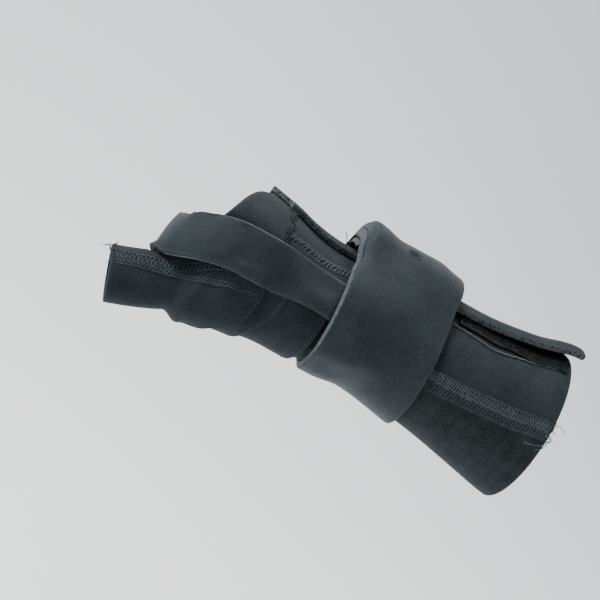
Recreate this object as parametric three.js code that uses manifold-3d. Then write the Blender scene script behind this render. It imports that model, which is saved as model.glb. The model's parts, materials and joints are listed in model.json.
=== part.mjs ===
// A right-hand thumb spica splint, made of neoprene sheet: a wrist and hand sleeve of three panels that
// closes on the back of the hand with a hook strip, a thumb sleeve with a rounded tail, a layered wrap
// round the root of the thumb, a narrow strap through the web of the thumb and a wide strap round the wrist.
// Millimetres. The origin is the middle of the wrist. +X runs along the forearm to the elbow, +Z is the back
// of the hand, and -Y is the thumb's side.
import * as THREE from 'three';
import { mergeVertices } from 'three/addons/utils/BufferGeometryUtils.js';
import Module from 'manifold-3d';

// Driving dimensions of the limb that the splint is cut for
const WRIST_WIDTH = 57;
const WRIST_DEPTH = 46.8;
const SLEEVE_REACH = 86; // from the wrist to the elbow edge
const HAND_REACH = 72; // from the wrist to the edge on the back of the hand
const THUMB_REACH = 115; // from the wrist to the thumb's opening, along X
const THUMB_RADIUS = 9.9;
const BLEND = 9; // how softly the thumb runs into the hand

// Sheet thicknesses, and the gap that stays between two layers
const SLEEVE_WALL = 2.6;
const THUMB_WALL = 2.5;
const WRAP_WALL = 1.8;
const POCKET_WALL = 1.1;
const HOOK_WALL = 1.3;
const WEB_STRAP_WALL = 2.4;
const WRIST_STRAP_WALL = 3;
const LAYER_GAP = 0.5;
const LEAST_GAP = 0.25;
const SEAM_GAP = 0.35;

// Straps
const WRIST_STRAP_WIDTH = 51;
const WRIST_STRAP_MIDDLE = -1.5; // along X, on the back of the wrist
const WRIST_STRAP_SLANT = 4; // how far nearer the elbow it lies on the palm side
const WRIST_STRAP_START = 76; // degrees round the wrist, under its own outer turn
const WRIST_STRAP_OVERLAP = 124; // degrees that the outer turn covers the inner one
const WRIST_STRAP_SLACK = 6; // how far it stands off the back of the wrist
const WRIST_STRAP_HUMP = 3.3; // and how much further just inside its hand edge
const STRAP_HOLE_RADIUS = 3.3;
const STRAP_HOLE_ALONG = -3;
const STRAP_HOLE_ANGLE = 74;
const WEB_STRAP_WIDTH = 21;

// Closure and seams, as degrees round the limb: 0 faces -Y, 90 is the back, 180 faces +Y, -90 is the palm
const UNDER_EDGE = 106; // the covered edge of the thumb-side panel
const FLAP_EDGE = 69; // the free edge of the flap that covers it
const FLAP_RISE = 26; // degrees over which the flap climbs onto the panel
const FLAP_LIFT = 3.2; // how far the flap's elbow corner stands off
const FLAP_OVERHANG = 2; // how far the flap's corner passes the elbow edge
const HOOK_LOW_EDGE = 58;
const HOOK_HIGH_EDGE = 88;
const HOOK_START = 30; // along X
const HAND_SEAM = 58; // from the wrist to the seam across the back of the hand
const HAND_SIDE_ANGLE = -18; // where the hand panel meets the palm panel

// The limb's cross-sections: along is a share of SLEEVE_REACH towards the elbow and of HAND_REACH towards the
// fingers, width and side are shares of WRIST_WIDTH, and depth and lift are shares of WRIST_DEPTH.
const LIMB = [
  { along: -2.083, width: 1.263, depth: 0.556, side: 0.053, lift: 0.299 },
  { along: -1.389, width: 1.333, depth: 0.491, side: 0.053, lift: 0.288 },
  { along: -1.042, width: 1.368, depth: 0.63, side: 0.053, lift: 0.231 },
  { along: -0.833, width: 1.281, depth: 0.716, side: 0.044, lift: 0.139 },
  { along: -0.431, width: 1.088, depth: 0.953, side: 0.018, lift: -0.066 },
  { along: 0.0, width: 1.0, depth: 1.0, side: 0.0, lift: -0.049 },
  { along: 0.384, width: 1.053, depth: 1.137, side: 0.0, lift: -0.079 },
  { along: 0.581, width: 1.096, depth: 1.207, side: 0.0, lift: -0.096 },
  { along: 0.791, width: 1.158, depth: 1.325, side: 0.0, lift: -0.103 },
  { along: 1.0, width: 1.246, depth: 1.496, side: 0.0, lift: -0.085 },
  { along: 1.395, width: 1.333, depth: 1.624, side: 0.0, lift: -0.085 },
];

// The thumb, from past its tip to its root, and the muscle that joins it to the palm: along is a share of
// THUMB_REACH towards the fingers, side of WRIST_WIDTH, lift of WRIST_DEPTH and radius of THUMB_RADIUS.
const THUMB = [
  { along: 1.235, side: -0.614, lift: -0.919, radius: 0.929 },
  { along: 1.0, side: -0.588, lift: -0.739, radius: 1.0 },
  { along: 0.852, side: -0.561, lift: -0.59, radius: 0.98 },
  { along: 0.757, side: -0.535, lift: -0.483, radius: 0.97 },
  { along: 0.626, side: -0.474, lift: -0.37, radius: 1.121 },
  { along: 0.435, side: -0.395, lift: -0.278, radius: 1.253 },
  { along: 0.157, side: -0.263, lift: -0.224, radius: 1.333 },
];
const THUMB_MUSCLE = [
  { along: 0.791, side: -0.474, lift: -0.278, radius: 0.606 },
  { along: 0.696, side: -0.404, lift: -0.171, radius: 1.212 },
  { along: 0.174, side: -0.211, lift: -0.128, radius: 1.515 },
];

// Edges that follow a curve. reach is a share of the named size beside each table.
const HAND_EDGE = [ // of HAND_REACH, round the hand panel
  { angle: -18, reach: 1.431 },
  { angle: -12, reach: 1.34 },
  { angle: -7, reach: 1.26 },
  { angle: 5, reach: 1.19 },
  { angle: 17, reach: 1.135 },
  { angle: 40, reach: 1.069 },
  { angle: 71, reach: 0.986 },
  { angle: 106, reach: 0.958 },
];
const PALM_EDGE = [ // of HAND_REACH, round the palm panel, from the thumb's hole to the back of the hand
  { angle: -292, reach: 0.833 },
  { angle: -256, reach: 0.833 },
  { angle: -250, reach: 0.972 },
  { angle: -180, reach: 0.944 },
  { angle: -120, reach: 0.917 },
  { angle: -84, reach: 0.889 },
  { angle: -70, reach: 0.944 },
  { angle: -56, reach: 1.083 },
  { angle: -14, reach: 1.111 },
];
const SIDE_SEAM = [ // angle of the seam between the thumb-side and palm panels, along SLEEVE_REACH
  { along: -0.698, angle: -18 },
  { along: 0.0, angle: -4 },
  { along: 0.302, angle: -2 },
  { along: 0.698, angle: 5 },
  { along: 1.047, angle: 10 },
];
const THUMB_TAIL = [ // of THUMB_REACH, round the thumb sleeve: 0 faces -Y, 90 is up, -90 is down
  { angle: -180, reach: 0.843 },
  { angle: -125, reach: 0.8 },
  { angle: -98, reach: 0.755 },
  { angle: -75, reach: 0.71 },
  { angle: -52, reach: 0.65 },
  { angle: -38, reach: 0.59 },
  { angle: -22, reach: 0.55 },
  { angle: 0, reach: 0.525 },
  { angle: 16, reach: 0.515 },
  { angle: 30, reach: 0.53 },
  { angle: 44, reach: 0.574 },
  { angle: 62, reach: 0.748 },
  { angle: 80, reach: 0.861 },
  { angle: 110, reach: 0.887 },
  { angle: 150, reach: 0.87 },
  { angle: 180, reach: 0.843 },
];
const WRAP_EDGE = [ // of HAND_REACH, the wrap's elbow edge
  { angle: -78, reach: 0.438 },
  { angle: -68, reach: 0.417 },
  { angle: -56, reach: 0.389 },
  { angle: -34, reach: 0.354 },
  { angle: -10, reach: 0.361 },
];
const POCKET_EDGE = [ // of HAND_REACH, the stay pocket's elbow edge
  { angle: -76, reach: 0.9 },
  { angle: -62, reach: 0.84 },
  { angle: -48, reach: 0.775 },
  { angle: -28, reach: 0.69 },
  { angle: -20, reach: 0.655 },
  { angle: -12, reach: 0.645 },
];
const WRAP_START = 1.19; // shares of HAND_REACH
const POCKET_START = 1.05;

// The narrow strap's middle line. along is a share of HAND_REACH towards the fingers, side of WRIST_WIDTH and
// lift of WRIST_DEPTH; heading and dip point its outer face: 0 faces -Y, 90 faces the fingers, 180 faces +Y.
const WEB_STRAP = [
  { along: 0.111, side: -0.491, lift: 0.021, heading: 0, dip: 2 },
  { along: 0.333, side: -0.535, lift: 0.043, heading: 0, dip: 8 },
  { along: 0.583, side: -0.632, lift: 0.107, heading: 1, dip: 18 },
  { along: 0.833, side: -0.754, lift: 0.111, heading: 2, dip: 14 },
  { along: 1.083, side: -0.781, lift: 0.09, heading: 4, dip: 16 },
  { along: 1.25, side: -0.737, lift: 0.013, heading: 14, dip: 22 },
  { along: 1.354, side: -0.632, lift: -0.085, heading: 38, dip: 24 },
  { along: 1.403, side: -0.474, lift: -0.16, heading: 66, dip: 16 },
  { along: 1.403, side: -0.281, lift: -0.192, heading: 92, dip: 4 },
  { along: 1.347, side: -0.088, lift: -0.205, heading: 118, dip: -14 },
  { along: 1.222, side: 0.105, lift: -0.209, heading: 142, dip: -42 },
  { along: 1.083, side: 0.263, lift: -0.201, heading: 152, dip: -66 },
  { along: 0.889, side: 0.421, lift: -0.214, heading: 162, dip: -64 },
  { along: 0.694, side: 0.544, lift: -0.171, heading: 175, dip: -42 },
  { along: 0.528, side: 0.596, lift: -0.085, heading: 180, dip: -22 },
];

const radians = THREE.MathUtils.degToRad;
const smoothstep = THREE.MathUtils.smoothstep;
const lerp = THREE.MathUtils.lerp;

// The value of one column of a table at a place in another, on a smooth curve through the rows.
function columnAt(rows, placeColumn, column, place) {
  const n = rows.length;
  const rising = rows[n - 1][placeColumn] > rows[0][placeColumn];
  const at = (i) => rows[rising ? i : n - 1 - i][placeColumn];
  const value = (i) => rows[rising ? i : n - 1 - i][column];
  if (place <= at(0)) return value(0);
  if (place >= at(n - 1)) return value(n - 1);
  let i = 0;
  while (place > at(i + 1)) i += 1;
  const slope = (j) => {
    if (j === 0 || j === n - 1) return 0;
    const before = (value(j) - value(j - 1)) / (at(j) - at(j - 1));
    const after = (value(j + 1) - value(j)) / (at(j + 1) - at(j));
    return before * after <= 0 ? 0 : (2 * before * after) / (before + after);
  };
  const span = at(i + 1) - at(i);
  const t = (place - at(i)) / span;
  const t2 = t * t;
  const t3 = t2 * t;
  return (2 * t3 - 3 * t2 + 1) * value(i) + (t3 - 2 * t2 + t) * span * slope(i)
    + (3 * t2 - 2 * t3) * value(i + 1) + (t3 - t2) * span * slope(i + 1);
}

const limbShare = (x) => x / (x > 0 ? SLEEVE_REACH : HAND_REACH);

// Centre and half sizes of the limb's oval at x.
function limbAt(x) {
  const share = limbShare(x);
  return {
    y: columnAt(LIMB, 'along', 'side', share) * WRIST_WIDTH,
    z: columnAt(LIMB, 'along', 'lift', share) * WRIST_DEPTH,
    halfWidth: columnAt(LIMB, 'along', 'width', share) * WRIST_WIDTH / 2,
    halfDepth: columnAt(LIMB, 'along', 'depth', share) * WRIST_DEPTH / 2,
  };
}

// A chain of balls along a table's smooth centre line.
const CHAIN_STEPS = 22;
function chainOf(rows) {
  const first = rows[0].along;
  const last = rows[rows.length - 1].along;
  return Array.from({ length: CHAIN_STEPS + 1 }, (_, i) => {
    const along = first + (last - first) * i / CHAIN_STEPS;
    const column = (name) => columnAt(rows, 'along', name, along);
    const centre = new THREE.Vector3(-along * THUMB_REACH, column('side') * WRIST_WIDTH,
      column('lift') * WRIST_DEPTH);
    return { centre, radius: column('radius') * THUMB_RADIUS };
  });
}
const thumbChain = chainOf(THUMB);
const muscleChain = chainOf(THUMB_MUSCLE);

// Distance from a point to the surface of a chain, negative inside it.
function chainDistance(chain, p) {
  let least = Infinity;
  const run = new THREE.Vector3();
  const off = new THREE.Vector3();
  for (let i = 0; i < chain.length - 1; i += 1) {
    const a = chain[i];
    const b = chain[i + 1];
    run.subVectors(b.centre, a.centre);
    off.subVectors(p, a.centre);
    const t = THREE.MathUtils.clamp(off.dot(run) / run.lengthSq(), 0, 1);
    const distance = off.addScaledVector(run, -t).length() - a.radius - (b.radius - a.radius) * t;
    least = Math.min(least, distance);
  }
  return least;
}

function limbDistance(p) {
  const s = limbAt(p.x);
  const y = p.y - s.y;
  const z = p.z - s.z;
  const k0 = Math.hypot(y / s.halfWidth, z / s.halfDepth);
  const k1 = Math.hypot(y / s.halfWidth ** 2, z / s.halfDepth ** 2);
  return k1 < 1e-9 ? -s.halfDepth : k0 * (k0 - 1) / k1;
}

const softMin = (a, b, blend) => {
  const h = Math.max(blend - Math.abs(a - b), 0) / blend;
  return Math.min(a, b) - h * h * blend / 4;
};

// Distance from a point to the hand, wrist and thumb, negative inside.
function bodyDistance(p) {
  const hand = softMin(limbDistance(p), chainDistance(muscleChain, p), BLEND);
  return softMin(hand, chainDistance(thumbChain, p), BLEND);
}

const NORMAL_STEP = 0.5;
function bodyNormal(p) {
  const slope = (axis) => {
    const away = p.clone();
    away[axis] += NORMAL_STEP;
    const ahead = bodyDistance(away);
    away[axis] -= 2 * NORMAL_STEP;
    return ahead - bodyDistance(away);
  };
  return new THREE.Vector3(slope('x'), slope('y'), slope('z')).normalize();
}

// The point on a ray whose height over the body is height(point). From outside it is the outermost one.
const RAY_REACH = 80;
const RAY_STEP = 2;
function pointAtHeight(origin, direction, height, fromOutside, distanceOf = bodyDistance) {
  const p = new THREE.Vector3();
  const over = (s) => distanceOf(p.copy(origin).addScaledVector(direction, s)) - height(p);
  let low = 0;
  let high = RAY_REACH;
  if (fromOutside) {
    low = RAY_REACH;
    while (low > 0 && over(low) > 0) low -= RAY_STEP;
    high = low + RAY_STEP;
  } else {
    high = 0;
    while (high < RAY_REACH && over(high) < 0) high += RAY_STEP;
    low = high - RAY_STEP;
  }
  for (let i = 0; i < 22; i += 1) {
    const middle = (low + high) / 2;
    if (over(middle) < 0) low = middle;
    else high = middle;
  }
  return origin.clone().addScaledVector(direction, low);
}

// A point of a layer over the limb, at x and at an angle round the limb's middle.
function limbPoint(x, angle, height) {
  const s = limbAt(x);
  const turn = radians(angle);
  const direction = new THREE.Vector3(0, -Math.cos(turn), Math.sin(turn));
  return pointAtHeight(new THREE.Vector3(x, s.y, s.z), direction, () => height, true);
}

const limbAngle = (p) => {
  const s = limbAt(p.x);
  return THREE.MathUtils.radToDeg(Math.atan2(p.z - s.z, s.y - p.y));
};

// The thumb's middle line where it is at x, with the directions to its near side and its top.
function thumbFrame(x) {
  const centreAt = (along) => new THREE.Vector3(-along * THUMB_REACH,
    columnAt(THUMB, 'along', 'side', along) * WRIST_WIDTH,
    columnAt(THUMB, 'along', 'lift', along) * WRIST_DEPTH);
  const along = -x / THUMB_REACH;
  const axis = centreAt(along - 0.02).sub(centreAt(along + 0.02)).normalize();
  const side = new THREE.Vector3(0, -1, 0).addScaledVector(axis, axis.y).normalize();
  const up = new THREE.Vector3().crossVectors(side, axis).normalize();
  return { centre: centreAt(along), side, up };
}

function thumbAngle(p) {
  const { centre, side, up } = thumbFrame(p.x);
  const off = p.clone().sub(centre);
  return THREE.MathUtils.radToDeg(Math.atan2(off.dot(up), off.dot(side)));
}

// A point of a layer over the thumb, on a ring round its middle line where that line is at x. Where the ring
// faces the hand it keeps to the thumb's own shape.
function thumbPoint(x, angle, height) {
  const { centre, side, up } = thumbFrame(x);
  const turn = radians(angle);
  const direction = side.multiplyScalar(Math.cos(turn)).addScaledVector(up, Math.sin(turn));
  const towardsHand = angle > 0 ? smoothstep(angle, 28, 44) : 1 - smoothstep(angle, -140, -112);
  const reach = (distanceOf) => pointAtHeight(centre, direction, height, false, distanceOf);
  if (towardsHand === 0) return reach(bodyDistance);
  const alone = reach((p) => softMin(chainDistance(thumbChain, p), chainDistance(muscleChain, p), BLEND));
  return towardsHand === 1 ? alone : reach(bodyDistance).lerp(alone, towardsHand);
}

// A closed sheet between two grids of points: rows run one way, and the columns close into a ring if asked.
function sheet({ rows, columns, ring = false, wall, point }, sink = 0, rise = 0, margin = 0) {
  const marginRows = margin && margin / point(0, 0.5, 0).distanceTo(point(1, 0.5, 0));
  const marginColumns = margin && !ring && margin / point(0.5, 0, 0).distanceTo(point(0.5, 1, 0));
  const positions = [];
  const faces = [];
  const width = ring ? columns : columns + 1;
  for (const height of [wall + rise, -sink]) {
    for (let i = 0; i <= rows; i += 1) {
      for (let j = 0; j < width; j += 1) {
        const u = i / rows + (2 * i / rows - 1) * marginRows;
        const v = j / columns + (2 * j / columns - 1) * marginColumns;
        positions.push(...point(u, v, height).toArray());
      }
    }
  }
  const inner = (rows + 1) * width;
  const at = (i, j) => i * width + (ring ? j % columns : j);
  const quad = (a, b, c, d) => faces.push(a, b, c, a, c, d);
  for (let i = 0; i < rows; i += 1) {
    for (let j = 0; j < columns; j += 1) {
      quad(at(i, j), at(i, j + 1), at(i + 1, j + 1), at(i + 1, j));
      quad(inner + at(i, j), inner + at(i + 1, j), inner + at(i + 1, j + 1), inner + at(i, j + 1));
    }
  }
  for (let j = 0; j < columns; j += 1) {
    quad(at(0, j), inner + at(0, j), inner + at(0, j + 1), at(0, j + 1));
    quad(at(rows, j), at(rows, j + 1), inner + at(rows, j + 1), inner + at(rows, j));
  }
  for (let i = 0; i < rows && !ring; i += 1) {
    quad(at(i, 0), at(i + 1, 0), inner + at(i + 1, 0), inner + at(i, 0));
    quad(at(i, columns), inner + at(i, columns), inner + at(i + 1, columns), at(i + 1, columns));
  }
  return facingOut(positions, faces);
}

// The room that a layer takes up, with the least gap round it, down to well under it.
const ROOM_SINK = 8;
const roomOf = (layer) => sheet(layer, ROOM_SINK, LEAST_GAP, LEAST_GAP);

function facingOut(positions, faces) {
  const corner = (i) => new THREE.Vector3().fromArray(positions, 3 * faces[i]);
  let volume = 0;
  for (let i = 0; i < faces.length; i += 3) {
    volume += corner(i).dot(corner(i + 1).cross(corner(i + 2)));
  }
  const index = volume > 0 ? faces : faces.map((_, i) => faces[i - (i % 3) + 2 - (i % 3)]);
  const geometry = new THREE.BufferGeometry();
  geometry.setAttribute('position', new THREE.BufferAttribute(new Float32Array(positions), 3));
  return geometry.setIndex(index);
}

const sideSeam = (x) => columnAt(SIDE_SEAM, 'along', 'angle', x / SLEEVE_REACH);

// The angle that the seam gap takes up at the limb's surface.
const seamAngle = (x) => THREE.MathUtils.radToDeg(SEAM_GAP / limbAt(x).halfDepth);

// The thumb-side panel of the forearm and wrist, from the side seam to its covered edge on the back.
function thumbSidePanel() {
  const x = (u) => lerp(-HAND_SEAM + SEAM_GAP, SLEEVE_REACH, u);
  const angle = (u, v) => lerp(sideSeam(x(u)) + seamAngle(x(u)), UNDER_EDGE, v);
  const point = (u, v, height) => limbPoint(x(u), angle(u, v), height);
  return { rows: 20, columns: 14, wall: SLEEVE_WALL, point };
}

// The panel on the back and thumb side of the hand, from the hand's opening to the seam across the hand.
function handPanel() {
  const angle = (v) => lerp(HAND_SIDE_ANGLE + seamAngle(-HAND_SEAM), UNDER_EDGE, v);
  const x = (u, v) => lerp(-columnAt(HAND_EDGE, 'angle', 'reach', angle(v)) * HAND_REACH, -HAND_SEAM, u);
  const point = (u, v, height) => limbPoint(x(u, v), angle(v), height);
  return { rows: 7, columns: 16, wall: SLEEVE_WALL, point };
}

// How far the flap stands off the body, at x and at an angle from FLAP_EDGE up.
function flapHeight(x, angle) {
  const overHooks = (HOOK_WALL + LAYER_GAP) * smoothstep(x, HOOK_START - 14, HOOK_START - 1);
  const climb = 1 - smoothstep(angle, UNDER_EDGE + 2, UNDER_EDGE + 2 + FLAP_RISE);
  const lift = smoothstep(x, SLEEVE_REACH / 3, SLEEVE_REACH) * (1 - smoothstep(angle, FLAP_EDGE, UNDER_EDGE));
  return (SLEEVE_WALL + LAYER_GAP + overHooks) * climb + FLAP_LIFT * lift;
}

// The panel of the palm and far side, which wraps over the back as the closing flap.
function palmPanel() {
  const flapEdge = FLAP_EDGE - 360;
  const reach = (angle) => columnAt(PALM_EDGE, 'angle', 'reach', angle) * HAND_REACH;
  const end = (angle) => SLEEVE_REACH
    + FLAP_OVERHANG * (1 - smoothstep(angle, flapEdge, flapEdge + 30));
  const x = (u, v) => {
    const angle = lerp(flapEdge, HAND_SIDE_ANGLE, v);
    return lerp(-reach(angle), end(angle), u);
  };
  const angle = (u, v) => lerp(flapEdge, sideSeam(x(u, v)), v);
  const point = (u, v, height) => limbPoint(x(u, v), angle(u, v),
    flapHeight(x(u, v), angle(u, v) + 360) + height);
  return { rows: 18, columns: 40, wall: SLEEVE_WALL, point };
}

// The strip of hooks between the flap and the thumb-side panel.
function hookStrip() {
  const under = SLEEVE_WALL + LAYER_GAP;
  const x = (u) => lerp(HOOK_START, SLEEVE_REACH - 3, u);
  const angle = (v) => lerp(HOOK_LOW_EDGE, HOOK_HIGH_EDGE, v);
  const point = (u, v, height) => limbPoint(x(u), angle(v), under + height);
  return { rows: 8, columns: 4, wall: HOOK_WALL, point };
}

const firstAngle = (rows) => rows[0].angle;
const lastAngle = (rows) => rows[rows.length - 1].angle;
const wrapUnder = SLEEVE_WALL + LAYER_GAP;
const pocketUnder = wrapUnder + WRAP_WALL + LAYER_GAP;

// The wrap round the root of the thumb, over the sleeve.
function thumbWrap() {
  const angle = (v) => lerp(firstAngle(WRAP_EDGE), lastAngle(WRAP_EDGE), v);
  const start = (v) => WRAP_START * lerp(0.7, 1, smoothstep(angle(v), firstAngle(WRAP_EDGE), -44));
  const x = (u, v) => -lerp(start(v), columnAt(WRAP_EDGE, 'angle', 'reach', angle(v)), u) * HAND_REACH;
  const point = (u, v, height) => limbPoint(x(u, v), angle(v), wrapUnder + height);
  return { rows: 12, columns: 14, wall: WRAP_WALL, point };
}

// The flat pocket on the wrap, whose elbow edge shows past the thumb sleeve's tail.
function stayPocket() {
  const angle = (v) => lerp(firstAngle(POCKET_EDGE), lastAngle(POCKET_EDGE), v);
  const x = (u, v) => -lerp(POCKET_START, columnAt(POCKET_EDGE, 'angle', 'reach', angle(v)), u) * HAND_REACH;
  const point = (u, v, height) => limbPoint(x(u, v), angle(v), pocketUnder + height);
  return { rows: 4, columns: 12, wall: POCKET_WALL, point };
}

// What the thumb sleeve lies on: skin at its opening, then the panels, the wrap and the pocket.
const RAMP = 0.12; // share of HAND_REACH over which the sleeve climbs a layer
function thumbSleeveUnder(p) {
  const reach = -p.x / HAND_REACH;
  const ontoWrap = 1 - smoothstep(reach, WRAP_START + 0.02, WRAP_START + 0.02 + RAMP);
  const ontoPocket = 1 - smoothstep(reach, POCKET_START + 0.015, POCKET_START + 0.015 + RAMP);
  return pocketUnder * ontoWrap + (POCKET_WALL + LAYER_GAP) * ontoPocket;
}

// The sleeve of the thumb, open at its tip, whose rounded tail lies over the wrap.
function thumbSleeve() {
  const angle = (v) => lerp(-180, 180, v);
  const tail = (v) => columnAt(THUMB_TAIL, 'angle', 'reach', angle(v));
  const x = (u, v) => -lerp(1, tail(v), u) * THUMB_REACH;
  const point = (u, v, height) => thumbPoint(x(u, v), angle(v), (p) => thumbSleeveUnder(p) + height);
  return { rows: 14, columns: 32, ring: true, wall: THUMB_WALL, point };
}

// How far the narrow strap has to move off the body at a point, to clear the layers that it crosses.
function webStrapLift(p) {
  const reach = -p.x / HAND_REACH;
  const angle = limbAngle(p);
  const wrapEdge = columnAt(WRAP_EDGE, 'angle', 'reach', angle);
  const onWrap = smoothstep(reach, wrapEdge - 0.03, wrapEdge + 0.01)
    * (1 - smoothstep(reach, WRAP_START, WRAP_START + 0.05))
    * smoothstep(angle, firstAngle(WRAP_EDGE) - 5, firstAngle(WRAP_EDGE) - 1)
    * (1 - smoothstep(angle, lastAngle(WRAP_EDGE) + 1, lastAngle(WRAP_EDGE) + 5));
  const onHand = angle > HAND_SIDE_ANGLE && angle < UNDER_EDGE;
  const panelEdge = onHand ? columnAt(HAND_EDGE, 'angle', 'reach', angle)
    : columnAt(PALM_EDGE, 'angle', 'reach', angle > UNDER_EDGE ? angle - 360 : angle);
  const onPanel = 1 - smoothstep(reach, panelEdge, panelEdge + 0.07);
  const tail = columnAt(THUMB_TAIL, 'angle', 'reach', thumbAngle(p));
  const onThumb = smoothstep(-p.x / THUMB_REACH, tail - 0.02, tail + 0.005)
    * smoothstep(limbDistance(p) - chainDistance(thumbChain, p), -4, 0);
  const overPanel = SLEEVE_WALL + LAYER_GAP + (WRAP_WALL + LAYER_GAP) * onWrap - bodyDistance(p);
  const overThumb = thumbSleeveUnder(p) + THUMB_WALL + LAYER_GAP - bodyDistance(p);
  return Math.max(overPanel * onPanel, overThumb * onThumb, 0);
}

// The narrow strap, a bowed ribbon along its table's line, eased outwards off what it lies on.
const WEB_STRAP_BOW = 1.4;
function webStrap() {
  const rows = WEB_STRAP.map((row, i) => ({ ...row, place: i / (WEB_STRAP.length - 1) }));
  const line = new THREE.CatmullRomCurve3(rows.map((row) => new THREE.Vector3(-row.along * HAND_REACH,
    row.side * WRIST_WIDTH, row.lift * WRIST_DEPTH)), false, 'centripetal');
  const point = (u, v, height) => {
    const heading = radians(columnAt(rows, 'place', 'heading', u));
    const dip = radians(columnAt(rows, 'place', 'dip', u));
    const facing = new THREE.Vector3(-Math.sin(heading) * Math.cos(dip), -Math.cos(heading) * Math.cos(dip),
      Math.sin(dip));
    const tangent = line.getTangent(THREE.MathUtils.clamp(u, 0, 1));
    const across = new THREE.Vector3().crossVectors(tangent, facing).normalize();
    const out = new THREE.Vector3().crossVectors(across, tangent).normalize();
    const p = line.getPoint(THREE.MathUtils.clamp(u, 0, 1));
    p.addScaledVector(across, (v - 0.5) * WEB_STRAP_WIDTH);
    p.addScaledVector(out, -WEB_STRAP_BOW * (2 * v - 1) ** 2);
    for (let i = 0; i < 4; i += 1) p.addScaledVector(bodyNormal(p), Math.min(webStrapLift(p), 3));
    return p.addScaledVector(out, height);
  };
  return { rows: 36, columns: 5, wall: WEB_STRAP_WALL, point };
}

// Where the narrow strap's end lies under the wide one.
const narrowStrapEnd = (() => {
  const middle = webStrap().point(0, 0.5, 0);
  const s = limbAt(middle.x);
  const radius = Math.hypot(middle.y - s.y, middle.z - s.z);
  const halfAngle = THREE.MathUtils.radToDeg(Math.asin(WEB_STRAP_WIDTH / 2 / radius));
  return { x: middle.x, angle: limbAngle(middle), halfAngle };
})();

const STRAP_HAND_EDGE = WRIST_STRAP_MIDDLE - WRIST_STRAP_WIDTH / 2;

// How high the wrist strap rides: over the sleeve, over the end of the narrow strap, and over the flap.
function wristStrapUnder(x, angle) {
  const turn = THREE.MathUtils.euclideanModulo(angle, 360);
  const fromThumbSide = turn > 180 ? turn - 360 : turn;
  const flap = flapHeight(x, turn) * smoothstep(turn, FLAP_EDGE - 22, FLAP_EDGE - 4);
  const offNarrow = Math.abs(fromThumbSide - narrowStrapEnd.angle) - narrowStrapEnd.halfAngle;
  const overNarrow = (1 - smoothstep(offNarrow, 8, 28)) * (1 - smoothstep(x, narrowStrapEnd.x + 1, narrowStrapEnd.x + 24));
  const bulge = WRIST_STRAP_SLACK * (1 - smoothstep(x, 10, 34)) + WRIST_STRAP_HUMP * (1 - smoothstep(x, -22, -6));
  const slack = bulge * smoothstep(x, STRAP_HAND_EDGE - 2, STRAP_HAND_EDGE + 5)
    * smoothstep(turn, 48, 80) * (1 - smoothstep(turn, 120, 160));
  return SLEEVE_WALL + LAYER_GAP + slack + Math.max(flap, 0) + (WEB_STRAP_WALL + 3 * LAYER_GAP) * overNarrow;
}

// The wide strap, one turn and an overlap round the wrist.
function wristStrap() {
  const turned = (v) => WRIST_STRAP_START + v * (360 + WRIST_STRAP_OVERLAP);
  const slant = (angle) => WRIST_STRAP_SLANT * (1 - Math.sin(radians(angle))) / 2;
  const x = (u, v) => WRIST_STRAP_MIDDLE + slant(turned(v)) + (u - 0.5) * WRIST_STRAP_WIDTH;
  const climb = (angle) => (WRIST_STRAP_WALL + LAYER_GAP)
    * smoothstep(angle, WRIST_STRAP_START + 360 - 30, WRIST_STRAP_START + 360 - 3);
  const point = (u, v, height) => limbPoint(x(u, v), turned(v),
    wristStrapUnder(x(u, v), turned(v)) + climb(turned(v)) + height);
  return { rows: 6, columns: 68, wall: WRIST_STRAP_WALL, point };
}

const wasm = await Module();
wasm.setup();

function solidOf(geometry) {
  const bare = geometry.clone();
  for (const name of ['normal', 'uv']) bare.deleteAttribute(name);
  const merged = mergeVertices(bare, 1e-3);
  return new wasm.Manifold(new wasm.Mesh({
    numProp: 3,
    vertProperties: merged.getAttribute('position').array,
    triVerts: new Uint32Array(merged.getIndex().array),
  }));
}

function geometryOf(solid) {
  const mesh = solid.getMesh();
  const geometry = new THREE.BufferGeometry();
  geometry.setAttribute('position', new THREE.BufferAttribute(mesh.vertProperties, 3));
  return geometry.setIndex(new THREE.BufferAttribute(mesh.triVerts, 1));
}

// The largest of the bodies that a cut leaves.
function largestOf(solid) {
  return solid.decompose().reduce((a, b) => (b.volume() > a.volume() ? b : a));
}

// A piece less the room of the pieces that it lies on.
function trimmed(layer, ...others) {
  const cut = (solid, other) => solid.subtract(solidOf(roomOf(other)));
  return geometryOf(largestOf(others.reduce(cut, solidOf(sheet(layer)))));
}

// The wide strap with its small round hole.
function wristStrapWithHole() {
  const surface = limbPoint(STRAP_HOLE_ALONG, STRAP_HOLE_ANGLE, SLEEVE_WALL);
  const s = limbAt(STRAP_HOLE_ALONG);
  const out = surface.clone().sub(new THREE.Vector3(STRAP_HOLE_ALONG, s.y, s.z)).normalize();
  const depth = 8 * WRIST_STRAP_WALL;
  const plug = new THREE.CylinderGeometry(STRAP_HOLE_RADIUS, STRAP_HOLE_RADIUS, depth, 20);
  plug.applyQuaternion(new THREE.Quaternion().setFromUnitVectors(new THREE.Vector3(0, 1, 0), out));
  plug.translate(...surface.addScaledVector(out, depth / 2 - SLEEVE_WALL).toArray());
  return geometryOf(largestOf(solidOf(sheet(wristStrap())).subtract(solidOf(plug))));
}

const neoprene = (color) => new THREE.MeshStandardMaterial({ color, roughness: 0.85, metalness: 0 });
const sleeveKnit = neoprene(0x1d1f24);
const strapKnit = neoprene(0x25272c);
const hooks = new THREE.MeshStandardMaterial({ color: 0x0d0e10, roughness: 0.6, metalness: 0 });

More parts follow.
